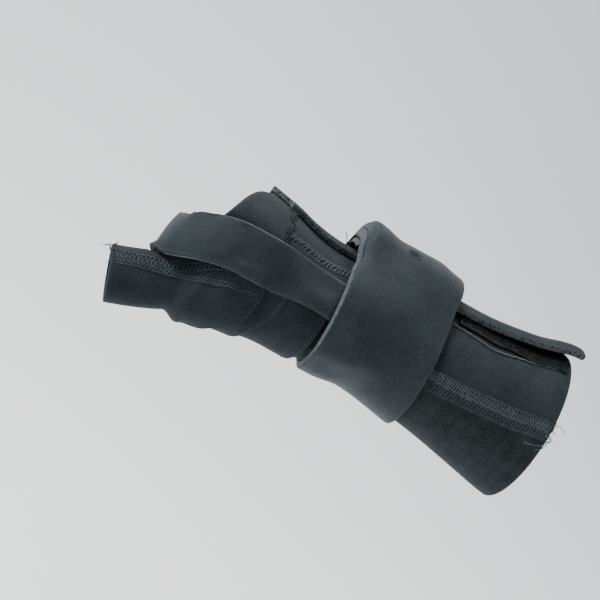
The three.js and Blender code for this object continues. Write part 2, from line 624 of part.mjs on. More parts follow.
const splint = new THREE.Group();
function add(name, geometry, material) {
  const mesh = new THREE.Mesh(geometry, material);
  mesh.name = name;
  splint.add(mesh);
}
const panels = [thumbSidePanel(), handPanel(), palmPanel()];
add('thumb_side_panel', sheet(panels[0]), sleeveKnit);
add('hand_panel', sheet(panels[1]), sleeveKnit);
add('palm_panel', sheet(panels[2]), sleeveKnit);
add('hook_strip', sheet(hookStrip()), hooks);
add('thumb_wrap', trimmed(thumbWrap(), ...panels), sleeveKnit);
add('stay_pocket', sheet(stayPocket()), sleeveKnit);
add('thumb_sleeve', trimmed(thumbSleeve(), thumbWrap(), stayPocket(), ...panels), sleeveKnit);
add('web_strap', trimmed(webStrap(), thumbSleeve(), thumbWrap(), stayPocket(), ...panels), strapKnit);
add('wrist_strap', wristStrapWithHole(), strapKnit);

export default splint;
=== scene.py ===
"""A right-hand thumb spica splint in neoprene sheet, dressed over its CAD frame.

Shapes are worked out in millimetres in the CAD frame and become metres where a mesh is made. The origin is
the middle of the wrist, +X runs to the elbow, +Z is the back of the hand and -Y is the thumb's side.
"""
from __future__ import annotations

import json
import logging
import math
from dataclasses import dataclass, field
from enum import Enum
from typing import Callable

import bpy
import numpy as np
from mathutils import Matrix, Vector

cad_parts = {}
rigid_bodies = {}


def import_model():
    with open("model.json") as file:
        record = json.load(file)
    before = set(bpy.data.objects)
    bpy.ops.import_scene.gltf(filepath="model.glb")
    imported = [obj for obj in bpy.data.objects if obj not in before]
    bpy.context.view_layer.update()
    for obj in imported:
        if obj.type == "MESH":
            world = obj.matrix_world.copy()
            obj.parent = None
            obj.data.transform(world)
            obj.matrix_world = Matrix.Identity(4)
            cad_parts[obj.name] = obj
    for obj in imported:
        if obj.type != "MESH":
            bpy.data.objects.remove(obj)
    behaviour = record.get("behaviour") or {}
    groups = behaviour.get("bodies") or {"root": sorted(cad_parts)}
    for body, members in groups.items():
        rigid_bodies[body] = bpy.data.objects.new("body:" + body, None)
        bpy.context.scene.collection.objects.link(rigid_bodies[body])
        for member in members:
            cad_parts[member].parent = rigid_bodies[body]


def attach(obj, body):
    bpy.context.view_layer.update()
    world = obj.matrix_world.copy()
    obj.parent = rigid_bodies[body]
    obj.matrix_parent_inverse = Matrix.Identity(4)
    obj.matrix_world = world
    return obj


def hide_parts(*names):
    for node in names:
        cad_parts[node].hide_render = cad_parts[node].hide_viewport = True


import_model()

Array = np.ndarray
Piece = bpy.types.Object
Socket = bpy.types.NodeSocket
Colour = tuple[float, float, float]
Places = tuple[tuple[float, ...], ...]

LOG = logging.getLogger("splint")
MM = 0.001
PHOTO_SIZE = 600

# The limb that the splint is cut for
WRIST_WIDTH, WRIST_DEPTH = 57.0, 46.8
SLEEVE_REACH, HAND_REACH, THUMB_REACH = 86.0, 72.0, 115.0
THUMB_RADIUS, BLEND = 9.9, 9.0

# Sheet thicknesses and gaps
SLEEVE_WALL, THUMB_WALL, WRAP_WALL, POCKET_WALL, HOOK_WALL = 2.6, 2.5, 1.8, 1.1, 1.3
WEB_STRAP_WALL, WRIST_STRAP_WALL = 2.4, 3.0
LAYER_GAP = 0.5
HOOK_BACKING = HOOK_WALL - 0.45

# Straps
WRIST_STRAP_WIDTH, WRIST_STRAP_MIDDLE, WRIST_STRAP_SLANT = 51.0, -1.5, 4.0
WRIST_STRAP_START, WRIST_STRAP_OVERLAP = 76.0, 124.0
# How far the wide strap stands off the back of the wrist, and how much further just inside its hand edge
WRIST_STRAP_SLACK, WRIST_STRAP_HUMP = 6.0, 3.3
# Where that ends, in millimetres along X, and where it starts and ends in degrees round the limb
SLACK_END, HUMP_END, SLACK_RISE, SLACK_FALL = (10, 34), (-22, -6), (48, 80), (120, 160)
STRAP_HOLE_RADIUS, STRAP_HOLE_ALONG, STRAP_HOLE_ANGLE, STRAP_HOLE_SIDES = 3.3, -3.0, 74.0, 40
WEB_STRAP_WIDTH, WEB_STRAP_BOW = 21.0, 1.4
# The share of its gap that the narrow strap closes beside the wide one, and how much its end is drawn in
WEB_STRAP_HUG, WEB_STRAP_TAPER = 0.3, 4.2

# Closure and seams, in degrees round the limb
UNDER_EDGE, FLAP_EDGE, FLAP_RISE = 106.0, 69.0, 26.0
FLAP_LIFT, FLAP_OVERHANG = 3.2, 2.0
HOOK_LOW_EDGE, HOOK_HIGH_EDGE, HOOK_START = 58.0, 88.0, 30.0
HAND_SEAM, HAND_SIDE_ANGLE = 58.0, -18.0
WRAP_START, POCKET_START, RAMP = 1.09, 0.95, 0.12
STRAP_HAND_EDGE = WRIST_STRAP_MIDDLE - WRIST_STRAP_WIDTH / 2
WRAP_UNDER = SLEEVE_WALL + LAYER_GAP
POCKET_UNDER = WRAP_UNDER + WRAP_WALL + LAYER_GAP

# How a point finds its height on a ray: a start outside everything, then long careful steps, then short ones
RAY_START = 80.0
MARCHES, MARCH_SHARE, SETTLES, SETTLE_SHARE = 34, 0.82, 5, 0.9
THUMB_MARCHES, THUMB_MARCH_SHARE, THUMB_SETTLES = 40, 0.8, 6
# Degrees round the thumb over which its sleeve leaves the hand's side, above and below
THUMB_TOP, THUMB_UNDER = (28, 44), (-140, -112)
# How far in from its side an outer face is drawn back, and how much a taut sheet is evened across
BEVEL_FADE, TAUT_ACROSS = 2.5, 0.7
FAR_FROM_EDGE = 99.0
# The side seam's band: its height, half its width and its groove's, and where it rises along X
SEAM_BAND, SEAM_BAND_HALF, SEAM_GROOVE_HALF, SEAM_RISE = 0.5, 4.2, 0.9, (24, 34)
# The thumb seam's band: its height, its angle and half its width in degrees
THUMB_BAND, THUMB_BAND_ANGLE, THUMB_BAND_HALF = 0.35, 30, 15
# Where the wide strap comes down beside the narrow one, in degrees, and past its end, in millimetres
RIDE_SIDE, RIDE_END = (8, 28), (1, 24)
# Where in its first turn the wide strap climbs onto its own start, in degrees
CLIMB = (330, 357)
# The hooks' field: how wide it is in millimetres, and the points of one row
HOOK_FIELD, HOOKS_A_ROW = 18, 40

# along, width, depth, side, lift
LIMB = np.array([
    (-2.083, 1.263, 0.556, 0.053, 0.299), (-1.389, 1.333, 0.491, 0.053, 0.288),
    (-1.042, 1.368, 0.63, 0.053, 0.231), (-0.833, 1.281, 0.716, 0.044, 0.139),
    (-0.431, 1.088, 0.953, 0.018, -0.066), (0.0, 1.0, 1.0, 0.0, -0.049),
    (0.384, 1.053, 1.137, 0.0, -0.079), (0.581, 1.096, 1.207, 0.0, -0.096),
    (0.791, 1.158, 1.325, 0.0, -0.103), (1.0, 1.246, 1.496, 0.0, -0.085),
    (1.395, 1.333, 1.624, 0.0, -0.085),
])
# along, side, lift, radius
THUMB = np.array([
    (1.235, -0.614, -0.919, 0.929), (1.0, -0.588, -0.739, 1.0), (0.852, -0.561, -0.59, 0.98),
    (0.757, -0.535, -0.483, 0.97), (0.626, -0.474, -0.37, 1.121), (0.435, -0.395, -0.278, 1.253),
    (0.157, -0.263, -0.224, 1.333),
])
THUMB_MUSCLE = np.array([
    (0.791, -0.474, -0.278, 0.606), (0.696, -0.404, -0.171, 1.212), (0.174, -0.211, -0.128, 1.515),
])
# angle, reach
HAND_EDGE = np.array([
    (-18, 1.35), (-12, 1.28), (-7, 1.225), (5, 1.175), (17, 1.135), (40, 1.069), (71, 0.986), (106, 0.958),
])
PALM_EDGE = np.array([
    (-292, 0.833), (-256, 0.833), (-250, 0.972), (-180, 0.944), (-120, 0.917), (-84, 0.889), (-70, 0.944),
    (-56, 1.083), (-14, 1.111),
])
SIDE_SEAM = np.array([(-0.698, -18), (0.0, -4), (0.302, -2), (0.698, 5), (1.047, 10)])
THUMB_TAIL = np.array([
    (-180, 0.843), (-125, 0.8), (-98, 0.755), (-75, 0.71), (-52, 0.65), (-38, 0.59), (-22, 0.55), (0, 0.525),
    (16, 0.515), (30, 0.53), (44, 0.574), (62, 0.748), (80, 0.861), (110, 0.887), (150, 0.87), (180, 0.843),
])
WRAP_EDGE = np.array([(-78, 0.48), (-68, 0.455), (-56, 0.425), (-34, 0.383), (-10, 0.365), (2, 0.365)])
POCKET_EDGE = np.array([(-76, 0.9), (-62, 0.84), (-48, 0.775), (-28, 0.69), (-20, 0.655), (-5, 0.64)])
# along, side, lift, heading, dip
WEB_STRAP = np.array([
    (0.111, -0.491, 0.021, 0, 2), (0.333, -0.535, 0.043, 0, 8), (0.583, -0.632, 0.107, 1, 18),
    (0.833, -0.754, 0.111, 2, 14), (1.083, -0.781, 0.09, 4, 16), (1.25, -0.737, 0.013, 14, 22),
    (1.354, -0.632, -0.085, 38, 24), (1.403, -0.474, -0.16, 66, 16), (1.403, -0.281, -0.192, 92, 4),
    (1.347, -0.088, -0.205, 118, -14), (1.222, 0.105, -0.209, 142, -42), (1.083, 0.263, -0.201, 152, -66),
    (0.889, 0.421, -0.214, 162, -64), (0.694, 0.544, -0.171, 175, -42), (0.528, 0.596, -0.085, 180, -22),
])


def smoothstep(x: Array, low: float, high: float) -> Array:
    """An eased step.

    Args:
        x: The values.
        low: Where the step starts.
        high: Where it ends.

    Returns:
        0 below low, 1 above high and eased between.
    """
    t = np.clip((x - low) / (high - low), 0, 1)
    return t * t * (3 - 2 * t)


def mix(a: Array, b: Array, t: Array) -> Array:
    """A blend of a and b, by t from 0 to 1.

    Args:
        a: What t = 0 gives.
        b: What t = 1 gives.
        t: The share of b.

    Returns:
        The blend.
    """
    return a + (b - a) * t


def unit(v: Array) -> Array:
    """Vectors at length 1.

    Args:
        v: Vectors in the last axis.

    Returns:
        The same directions at length 1.
    """
    return v / np.maximum(np.linalg.norm(v, axis=-1, keepdims=True), 1e-12)


def curve_at(places: Array, values: Array, at: Array) -> Array:
    """Values on a smooth curve through a table's rows, level at both ends and never past a row.

    Args:
        places: Where the rows are.
        values: What they hold.
        at: Where to read.

    Returns:
        The values there.
    """
    if places[-1] < places[0]:
        places, values = places[::-1], values[::-1]
    step = np.diff(places)
    rise = np.diff(values) / step
    slope = np.zeros(len(places))
    product = rise[:-1] * rise[1:]
    total = np.where(product > 0, rise[:-1] + rise[1:], 1.0)
    slope[1:-1] = np.where(product > 0, 2 * product / total, 0)
    at = np.clip(at, places[0], places[-1])
    i = np.clip(np.searchsorted(places, at, side="left") - 1, 0, len(places) - 2)
    t = (at - places[i]) / step[i]
    t2, t3 = t * t, t * t * t
    return ((2 * t3 - 3 * t2 + 1) * values[i] + (t3 - 2 * t2 + t) * step[i] * slope[i]
            + (3 * t2 - 2 * t3) * values[i + 1] + (t3 - t2) * step[i] * slope[i + 1])


def soft_min(a: Array, b: Array, blend: float = BLEND) -> Array:
    """The lesser of two distances, rounded where they meet.

    Args:
        a: One distance.
        b: The other.
        blend: How wide the rounding is.

    Returns:
        The blended distance.
    """
    h = np.maximum(blend - np.abs(a - b), 0) / blend
    return np.minimum(a, b) - h * h * blend / 4


@dataclass(frozen=True)
class Chain:
    """Balls along a smooth centre line.

    Attributes:
        rows: A table of along, side, lift and radius.
        steps: How many stretches it is cut into.
    """

    rows: Array
    steps: int = 22
    centres: Array = field(init=False)
    radii: Array = field(init=False)

    def __post_init__(self) -> None:
        along = np.linspace(self.rows[0, 0], self.rows[-1, 0], self.steps + 1)
        object.__setattr__(self, "centres", self.middle(along))
        object.__setattr__(self, "radii", curve_at(self.rows[:, 0], self.rows[:, 3], along) * THUMB_RADIUS)

    def middle(self, along: Array) -> Array:
        """Points of the centre line.

        Args:
            along: Shares of THUMB_REACH towards the fingers.

        Returns:
            The points.
        """
        side = curve_at(self.rows[:, 0], self.rows[:, 1], along) * WRIST_WIDTH
        lift = curve_at(self.rows[:, 0], self.rows[:, 2], along) * WRIST_DEPTH
        return np.stack([-along * THUMB_REACH, side, lift], axis=-1)

    def distance(self, p: Array) -> Array:
        """How far points are off the chain's surface.

        Args:
            p: Points, one a row.

        Returns:
            Distances, negative inside.
        """
        run = np.diff(self.centres, axis=0)
        length = (run * run).sum(1)
        t = (p @ run.T - (self.centres[:-1] * run).sum(1)) / length
        t = np.clip(t, 0, 1)
        least = np.full(len(p), np.inf)
        for i in range(self.steps):
            off = p - self.centres[i] - t[:, i:i + 1] * run[i]
            radius = self.radii[i] + (self.radii[i + 1] - self.radii[i]) * t[:, i]
            np.minimum(least, np.sqrt((off * off).sum(1)) - radius, out=least)
        return least


class Body:
    """The hand, wrist and thumb that the sheets lie on. It isn't shown."""

    def __init__(self) -> None:
        self.thumb = Chain(THUMB)
        self.muscle = Chain(THUMB_MUSCLE)

    def section(self, x: Array) -> tuple[Array, ...]:
        """The limb's oval at x.

        Args:
            x: Places along the limb.

        Returns:
            The middle's y and z, and half of the width and depth.
        """
        share = x / np.where(x > 0, SLEEVE_REACH, HAND_REACH)
        width, depth, side, lift = (curve_at(LIMB[:, 0], column, share) for column in LIMB.T[1:])
        return side * WRIST_WIDTH, lift * WRIST_DEPTH, width * WRIST_WIDTH / 2, depth * WRIST_DEPTH / 2

    def limb(self, p: Array) -> Array:
        """How far points are off the limb, negative inside.

        Args:
            p: Points, one a row.

        Returns:
            The distances.
        """
        cy, cz, half_width, half_depth = self.section(p[:, 0])
        y, z = p[:, 1] - cy, p[:, 2] - cz
        k0 = np.hypot(y / half_width, z / half_depth)
        k1 = np.maximum(np.hypot(y / half_width ** 2, z / half_depth ** 2), 1e-9)
        return k0 * (k0 - 1) / k1

    def thumb_alone(self, p: Array) -> Array:
        """How far points are off the thumb and its muscle, negative inside.

        Args:
            p: Points, one a row.

        Returns:
            The distances.
        """
        return soft_min(self.thumb.distance(p), self.muscle.distance(p))

    def distance(self, p: Array) -> Array:
        """How far points are off the whole body, negative inside.

        Args:
            p: Points, one a row.

        Returns:
            The distances.
        """
        return soft_min(soft_min(self.limb(p), self.muscle.distance(p)), self.thumb.distance(p))

    def normal(self, p: Array) -> Array:
        """The directions straight off the body.

        Args:
            p: Points, one a row.

        Returns:
            Unit vectors.
        """
        slopes = [self.distance(p + step) - self.distance(p - step) for step in 0.5 * np.eye(3)]
        return unit(np.stack(slopes, axis=-1))

    def angle(self, p: Array) -> Array:
        """How far round the limb points are.

        Args:
            p: Points, one a row.

        Returns:
            Degrees from -180 to 180.
        """
        cy, cz, _, _ = self.section(p[:, 0])
        return np.degrees(np.arctan2(p[:, 2] - cz, cy - p[:, 1]))

    def on_limb(self, x: Array, angle: Array, height: Array) -> Array:
        """Points over the limb, the outermost on each ray.

        Args:
            x: Places along the limb.
            angle: Degrees round it.
            height: How far over the body.

        Returns:
            The points, one a row.
        """
        cy, cz, _, _ = self.section(x)
        turn = np.radians(angle)
        direction = np.stack([np.zeros_like(turn), -np.cos(turn), np.sin(turn)], axis=-1)
        origin = np.stack([x, cy, cz], axis=-1)
        goal = height + ease(origin)
        reach = np.full(len(x), RAY_START)
        for _ in range(MARCHES):
            reach -= MARCH_SHARE * np.maximum(self.distance(origin + reach[:, None] * direction) - goal, 0)
        for _ in range(SETTLES):
            off = self.distance(origin + reach[:, None] * direction) - goal
            reach = reach - SETTLE_SHARE * np.clip(off, -1, 1)
        return origin + reach[:, None] * direction

    def thumb_frame(self, x: Array) -> tuple[Array, Array, Array]:
        """The thumb's middle line where it is at x.

        Args:
            x: Places along the limb.

        Returns:
            The middle, and the directions to its near side and its top.
        """
        along = -x / THUMB_REACH
        axis = unit(self.thumb.middle(along - 0.02) - self.thumb.middle(along + 0.02))
        side = unit(np.array([0.0, -1.0, 0.0]) + axis * axis[:, 1:2])
        return self.thumb.middle(along), side, unit(np.cross(side, axis))

    def thumb_angle(self, p: Array) -> Array:
        """How far round the thumb points are.

        Args:
            p: Points, one a row.

        Returns:
            Degrees from -180 to 180.
        """
        centre, side, up = self.thumb_frame(p[:, 0])
        off = p - centre
        return np.degrees(np.arctan2((off * up).sum(1), (off * side).sum(1)))

    def on_thumb(self, x: Array, angle: Array,
                 height: Callable[[Array], Array]) -> Array:
        """Points over the thumb, on rings round its middle line.

        Args:
            x: Where the ring's middle is.
            angle: Degrees round the thumb.
            height: How far over the body, at given points.

        Returns:
            The points, one a row.
        """
        centre, side, up = self.thumb_frame(x)
        turn = np.radians(angle)[:, None]
        direction = side * np.cos(turn) + up * np.sin(turn)
        alone = np.where(angle > 0, smoothstep(angle, *THUMB_TOP), 1 - smoothstep(angle, *THUMB_UNDER))
        found = []
        for distance in (self.distance, self.thumb_alone):
            reach = np.zeros(len(x))
            for _ in range(THUMB_MARCHES):
                p = centre + reach[:, None] * direction
                reach += THUMB_MARCH_SHARE * np.maximum(height(p) + ease(p) - distance(p), 0)
            for _ in range(THUMB_SETTLES):
                p = centre + reach[:, None] * direction
                reach -= distance(p) - height(p) - ease(p)
            found.append(centre + reach[:, None] * direction)
        return mix(found[0], found[1], alone[:, None])


def ease(p: Array) -> Array:
    """The small hollows and swells of cloth after long wear, the same for all the layers.

    Args:
        p: Points, one a row.

    Returns:
        A height in millimetres for each.
    """
    x, y, z = p[:, 0], p[:, 1], p[:, 2]
    slow = np.sin(0.105 * x + 0.04 * z + 0.7) * np.cos(0.085 * y - 0.07 * z + 0.4)
    quick = np.sin(0.21 * x - 0.16 * z + 2.1) * np.sin(0.19 * y + 0.13 * z + 0.9)
    return 0.26 * slow + 0.14 * quick


BODY = Body()


class Edge(Enum):
    """How one side of a sheet is finished."""

    CUT = "cut"
    SEWN = "sewn"


PointOf = Callable[[Array, Array, float], Array]


@dataclass(frozen=True)
class Layer:
    """A sheet of cloth over the body.

    Attributes:
        name: The piece's name, which is its CAD node's too.
        wall: Its thickness.
        rows: How many stretches it has along u.
        columns: How many along v.
        point: A point at u and v, each 0 to 1, and a height over its inner face.
        edges: The finish of the sides at u = 0, u = 1, v = 0 and v = 1.
        ring: Whether v closes on itself.
        rim: How far a cut edge bulges.
        bevel: How far the outer face falls short of the inner one at each side, so that the cut edge shows.
        pull: How many times the sheet is drawn taut over the hollows under it.
    """

    name: str
    wall: float
    rows: int
    columns: int
    point: PointOf
    edges: tuple[Edge, Edge, Edge, Edge] = (Edge.CUT,) * 4
    ring: bool = False
    rim: float = 0.3
    bevel: tuple[float, float, float, float] = (0.0, 0.0, 0.0, 0.0)
    pull: int = 0

    def at(self, u: Array, v: Array, height: float) -> Array:
        """Points of the sheet.

        Args:
            u: Shares along it.
            v: Shares across it.
            height: Millimetres over its inner face.

        Returns:
            The points, one a row.
        """
        u, v = np.broadcast_arrays(np.asarray(u, float), np.asarray(v, float))
        return self.point(u.ravel(), v.ravel(), height)


def side_seam(x: Array) -> Array:
    """The angle of the seam between the thumb-side and palm panels.

    Args:
        x: Places along the limb.

    Returns:
        Degrees round it.
    """
    return curve_at(SIDE_SEAM[:, 0], SIDE_SEAM[:, 1], x / SLEEVE_REACH)


def flap_height(x: Array, angle: Array) -> Array:
    """How far the closing flap stands off the body.

    Args:
        x: Places along the limb.
        angle: Degrees round it, from FLAP_EDGE up.

    Returns:
        Heights.
    """
    over_hooks = (HOOK_WALL + LAYER_GAP) * smoothstep(x, HOOK_START - 14, HOOK_START - 1)
    climb = 1 - smoothstep(angle, UNDER_EDGE + 2, UNDER_EDGE + 2 + FLAP_RISE)
    lift = smoothstep(x, SLEEVE_REACH / 3, SLEEVE_REACH) * (1 - smoothstep(angle, FLAP_EDGE, UNDER_EDGE))
    return (SLEEVE_WALL + LAYER_GAP + over_hooks) * climb + FLAP_LIFT * lift


def seam_swell(x: Array, angle: Array) -> Array:
    """How the side seam's band stands up between the wrist strap and the elbow.

    Args:
        x: Places along the limb.
        angle: Degrees round it.

    Returns:
        Heights.
    """
    off = np.radians(angle - side_seam(x)) * BODY.section(x)[3]
    band = np.exp(-(off / SEAM_BAND_HALF) ** 2) - 0.9 * np.exp(-(off / SEAM_GROOVE_HALF) ** 2)
    return SEAM_BAND * band * smoothstep(x, *SEAM_RISE)


def thumb_side_panel() -> Layer:
    """The thumb-side panel of the forearm and wrist, up to its covered edge on the back.

    Returns:
        The layer.
    """
    def point(u: Array, v: Array, height: float) -> Array:
        x = mix(-HAND_SEAM, SLEEVE_REACH, u)
        angle = mix(side_seam(x), UNDER_EDGE, v)
        return BODY.on_limb(x, angle, height + seam_swell(x, angle) * (height > 0))

    edges = (Edge.SEWN, Edge.CUT, Edge.SEWN, Edge.CUT)
    return Layer("thumb_side_panel", SLEEVE_WALL, rows=112, columns=66, point=point, edges=edges)


def hand_panel() -> Layer:
    """The panel of the back and thumb side of the hand.

    Returns:
        The layer.
    """
    def point(u: Array, v: Array, height: float) -> Array:
        angle = mix(HAND_SIDE_ANGLE, UNDER_EDGE, v)
        edge = -curve_at(HAND_EDGE[:, 0], HAND_EDGE[:, 1], angle) * HAND_REACH
        return BODY.on_limb(mix(edge, -HAND_SEAM, u), angle, height)

    edges = (Edge.CUT, Edge.SEWN, Edge.SEWN, Edge.CUT)
    return Layer("hand_panel", SLEEVE_WALL, rows=34, columns=70, point=point, edges=edges)


def palm_panel() -> Layer:
    """The panel of the palm and far side, which wraps over the back as the closing flap.

    Returns:
        The layer.
    """
    flap_edge = FLAP_EDGE - 360

    def point(u: Array, v: Array, height: float) -> Array:
        first = mix(flap_edge, HAND_SIDE_ANGLE, v)
        reach = curve_at(PALM_EDGE[:, 0], PALM_EDGE[:, 1], first) * HAND_REACH
        end = SLEEVE_REACH + FLAP_OVERHANG * (1 - smoothstep(first, flap_edge, flap_edge + 30))
        x = mix(-reach, end, u)
        angle = mix(flap_edge, side_seam(x), v)
        swell = seam_swell(x, angle) * (height > 0)
        return BODY.on_limb(x, angle, flap_height(x, angle + 360) + height + swell)

    edges = (Edge.CUT, Edge.CUT, Edge.CUT, Edge.SEWN)
    return Layer("palm_panel", SLEEVE_WALL, rows=100, columns=170, point=point, edges=edges, rim=0.15)


def hook_strip() -> Layer:
    """The backing of the hooks between the flap and the thumb-side panel.

    Returns:
        The layer.
    """
    def point(u: Array, v: Array, height: float) -> Array:
        x = mix(HOOK_START, SLEEVE_REACH - 3, u)
        wave = 0.8 * np.sin(0.33 * x + 1.2) * (1 - smoothstep(v, 0, 0.5)) * smoothstep(x, 30, 44)
        angle = mix(HOOK_LOW_EDGE, HOOK_HIGH_EDGE, v) + wave
        return BODY.on_limb(x, angle, SLEEVE_WALL + LAYER_GAP + height)

    return Layer("hook_strip", HOOK_BACKING, rows=60, columns=18, point=point, rim=0.15)


def thumb_wrap() -> Layer:
    """The wrap round the root of the thumb.

    Returns:
        The layer.
    """
    first, last = WRAP_EDGE[0, 0], WRAP_EDGE[-1, 0]

    def point(u: Array, v: Array, height: float) -> Array:
        angle = mix(first, last, v)
        start = WRAP_START * mix(0.7, 1, smoothstep(angle, first, -44))
        x = -mix(start, curve_at(WRAP_EDGE[:, 0], WRAP_EDGE[:, 1], angle), u) * HAND_REACH
        return BODY.on_limb(x, angle, WRAP_UNDER + height)

    return Layer("thumb_wrap", WRAP_WALL, rows=44, columns=44, point=point)


def stay_pocket() -> Layer:
    """The flat pocket on the wrap.

    Returns:
        The layer.
    """
    first, last = POCKET_EDGE[0, 0], POCKET_EDGE[-1, 0]

    def point(u: Array, v: Array, height: float) -> Array:
        angle = mix(first, last, v)
        x = -mix(POCKET_START, curve_at(POCKET_EDGE[:, 0], POCKET_EDGE[:, 1], angle), u) * HAND_REACH
        return BODY.on_limb(x, angle, POCKET_UNDER + height)

    return Layer("stay_pocket", POCKET_WALL, rows=16, columns=44, point=point, rim=0.2)


def thumb_under(p: Array) -> Array:
    """What the thumb sleeve lies on: skin at its opening, then the panels, the wrap and the pocket.

    Args:
        p: Points, one a row.

    Returns:
        Heights over the body.
    """
    reach = -p[:, 0] / HAND_REACH
    onto_wrap = 1 - smoothstep(reach, WRAP_START + 0.02, WRAP_START + 0.02 + RAMP)
    onto_pocket = 1 - smoothstep(reach, POCKET_START + 0.015, POCKET_START + 0.015 + RAMP)
    return POCKET_UNDER * onto_wrap + (POCKET_WALL + LAYER_GAP) * onto_pocket


def thumb_sleeve() -> Layer:
    """The sleeve of the thumb, open at its tip, with its rounded tail over the wrap.

    Returns:
        The layer.
    """
    def point(u: Array, v: Array, height: float) -> Array:
        angle = mix(-180.0, 180.0, v)
        tail = curve_at(THUMB_TAIL[:, 0], THUMB_TAIL[:, 1], angle)
        x = -mix(1.0, tail, u) * THUMB_REACH
        off = (angle - THUMB_BAND_ANGLE) / THUMB_BAND_HALF
        band = np.exp(-off ** 2) * THUMB_BAND * (height > 0)
        return BODY.on_thumb(x, angle, lambda p: thumb_under(p) + height + band)

    return Layer("thumb_sleeve", THUMB_WALL, rows=54, columns=96, point=point, ring=True)


def web_strap_lift(p: Array) -> Array:
    """How far the narrow strap has to move off the body, to clear the layers that it crosses.

    Args:
        p: Points, one a row.

    Returns:
        Distances, below 0 where it settles onto the layers beside the wide strap.
    """
    reach, angle = -p[:, 0] / HAND_REACH, BODY.angle(p)
    wrap_edge = curve_at(WRAP_EDGE[:, 0], WRAP_EDGE[:, 1], angle)
    on_wrap = (smoothstep(reach - wrap_edge, -0.03, 0.01)
               * (1 - smoothstep(reach, WRAP_START, WRAP_START + 0.05))
               * smoothstep(angle, WRAP_EDGE[0, 0] - 5, WRAP_EDGE[0, 0] - 1)
               * (1 - smoothstep(angle, WRAP_EDGE[-1, 0] + 1, WRAP_EDGE[-1, 0] + 17)))
    on_hand = (angle > HAND_SIDE_ANGLE) & (angle < UNDER_EDGE)
    turned = np.where(angle > UNDER_EDGE, angle - 360, angle)
    edge = np.where(on_hand, curve_at(HAND_EDGE[:, 0], HAND_EDGE[:, 1], angle),
                    curve_at(PALM_EDGE[:, 0], PALM_EDGE[:, 1], turned))
    on_panel = 1 - smoothstep(reach - edge, 0, 0.07)
    tail = curve_at(THUMB_TAIL[:, 0], THUMB_TAIL[:, 1], BODY.thumb_angle(p))
    on_thumb = (smoothstep(-p[:, 0] / THUMB_REACH - tail, -0.02, 0.005)
                * smoothstep(BODY.limb(p) - BODY.thumb.distance(p), -4, 0))
    off = BODY.distance(p) - ease(p)
    over_panel = SLEEVE_WALL + LAYER_GAP + (WRAP_WALL + LAYER_GAP) * on_wrap - off
    over_thumb = thumb_under(p) + THUMB_WALL + LAYER_GAP - off
    lift = np.maximum(np.maximum(over_panel * on_panel, over_thumb * on_thumb), 0)
    sag = np.minimum(np.maximum(over_panel, over_thumb - 9 * (on_thumb < 0.02)), 0)
    return lift + WEB_STRAP_HUG * sag * smoothstep(p[:, 0], -62, -40)


WEB_POINTS = np.stack([-WEB_STRAP[:, 0] * HAND_REACH, WEB_STRAP[:, 1] * WRIST_WIDTH,
                       WEB_STRAP[:, 2] * WRIST_DEPTH], axis=-1)


def web_line(share: Array) -> Array:
    """The narrow strap's middle, a smooth line with knots at the root of its points' spacing.

    Args:
        share: 0 at its start to 1 at its end, the same for each stretch.

    Returns:
        The points, one a row.
    """
    known = WEB_POINTS
    p = np.vstack([2 * known[0] - known[1], known, 2 * known[-1] - known[-2]])
    place = np.clip(share, 0, 1) * (len(known) - 1)
    i = np.minimum(place.astype(int), len(known) - 2)
    t = (place - i)[:, None]
    a, b, c, d = p[i], p[i + 1], p[i + 2], p[i + 3]
    before, here, after = (np.maximum(np.sqrt(np.linalg.norm(n - m, axis=1, keepdims=True)), 1e-6)
                           for m, n in ((a, b), (b, c), (c, d)))
    leave = ((b - a) / before - (c - a) / (before + here) + (c - b) / here) * here
    arrive = ((c - b) / here - (d - b) / (here + after) + (d - c) / after) * here
    t2, t3 = t * t, t * t * t
    return ((2 * t3 - 3 * t2 + 1) * b + (t3 - 2 * t2 + t) * leave + (3 * t2 - 2 * t3) * c
            + (t3 - t2) * arrive)


def web_strap() -> Layer:
    """The narrow strap, a bowed ribbon through the web of the thumb.

    Returns:
        The layer.
    """
    places = np.linspace(0, 1, len(WEB_STRAP))

    def point(u: Array, v: Array, height: float) -> Array:
        heading = np.radians(curve_at(places, WEB_STRAP[:, 3], u))
        dip = np.radians(curve_at(places, WEB_STRAP[:, 4], u))
        level = np.cos(dip)
        facing = np.stack([-np.sin(heading) * level, -np.cos(heading) * level, np.sin(dip)], axis=-1)
        tangent = unit(web_line(u + 0.002) - web_line(u - 0.002))
        across = unit(np.cross(tangent, facing))
        out = unit(np.cross(across, tangent))
        bow = -WEB_STRAP_BOW * (2 * v - 1) ** 2 + 0.35 * np.sin(9 * u + 2 * v) * np.sin(3.1 * v)
        taper = WEB_STRAP_TAPER * (1 - v) * (1 - smoothstep(u, 0.05, 0.2))
        p = web_line(u) + across * ((v - 0.5) * WEB_STRAP_WIDTH + taper)[:, None] + out * bow[:, None]
        for _ in range(4):
            p = p + BODY.normal(p) * np.minimum(web_strap_lift(p), 3)[:, None]
        return p + out * height

    return Layer("web_strap", WEB_STRAP_WALL, rows=150, columns=20, point=point, bevel=(0.0, 0.0, 0.0, 0.7))


def narrow_strap_end() -> tuple[float, float, float]:
    """Where the narrow strap's end lies under the wide one.

    Returns:
        Its x, its angle round the limb and half of the angle that it takes up.
    """
    middle = web_strap().at([0.0], [0.5], 0)
    cy, cz, _, _ = BODY.section(middle[:, 0])
    radius = math.hypot(middle[0, 1] - cy[0], middle[0, 2] - cz[0])
    half = math.degrees(math.asin(WEB_STRAP_WIDTH / 2 / radius))
    return float(middle[0, 0]), float(BODY.angle(middle)[0]), half


NARROW_X, NARROW_ANGLE, NARROW_HALF = narrow_strap_end()


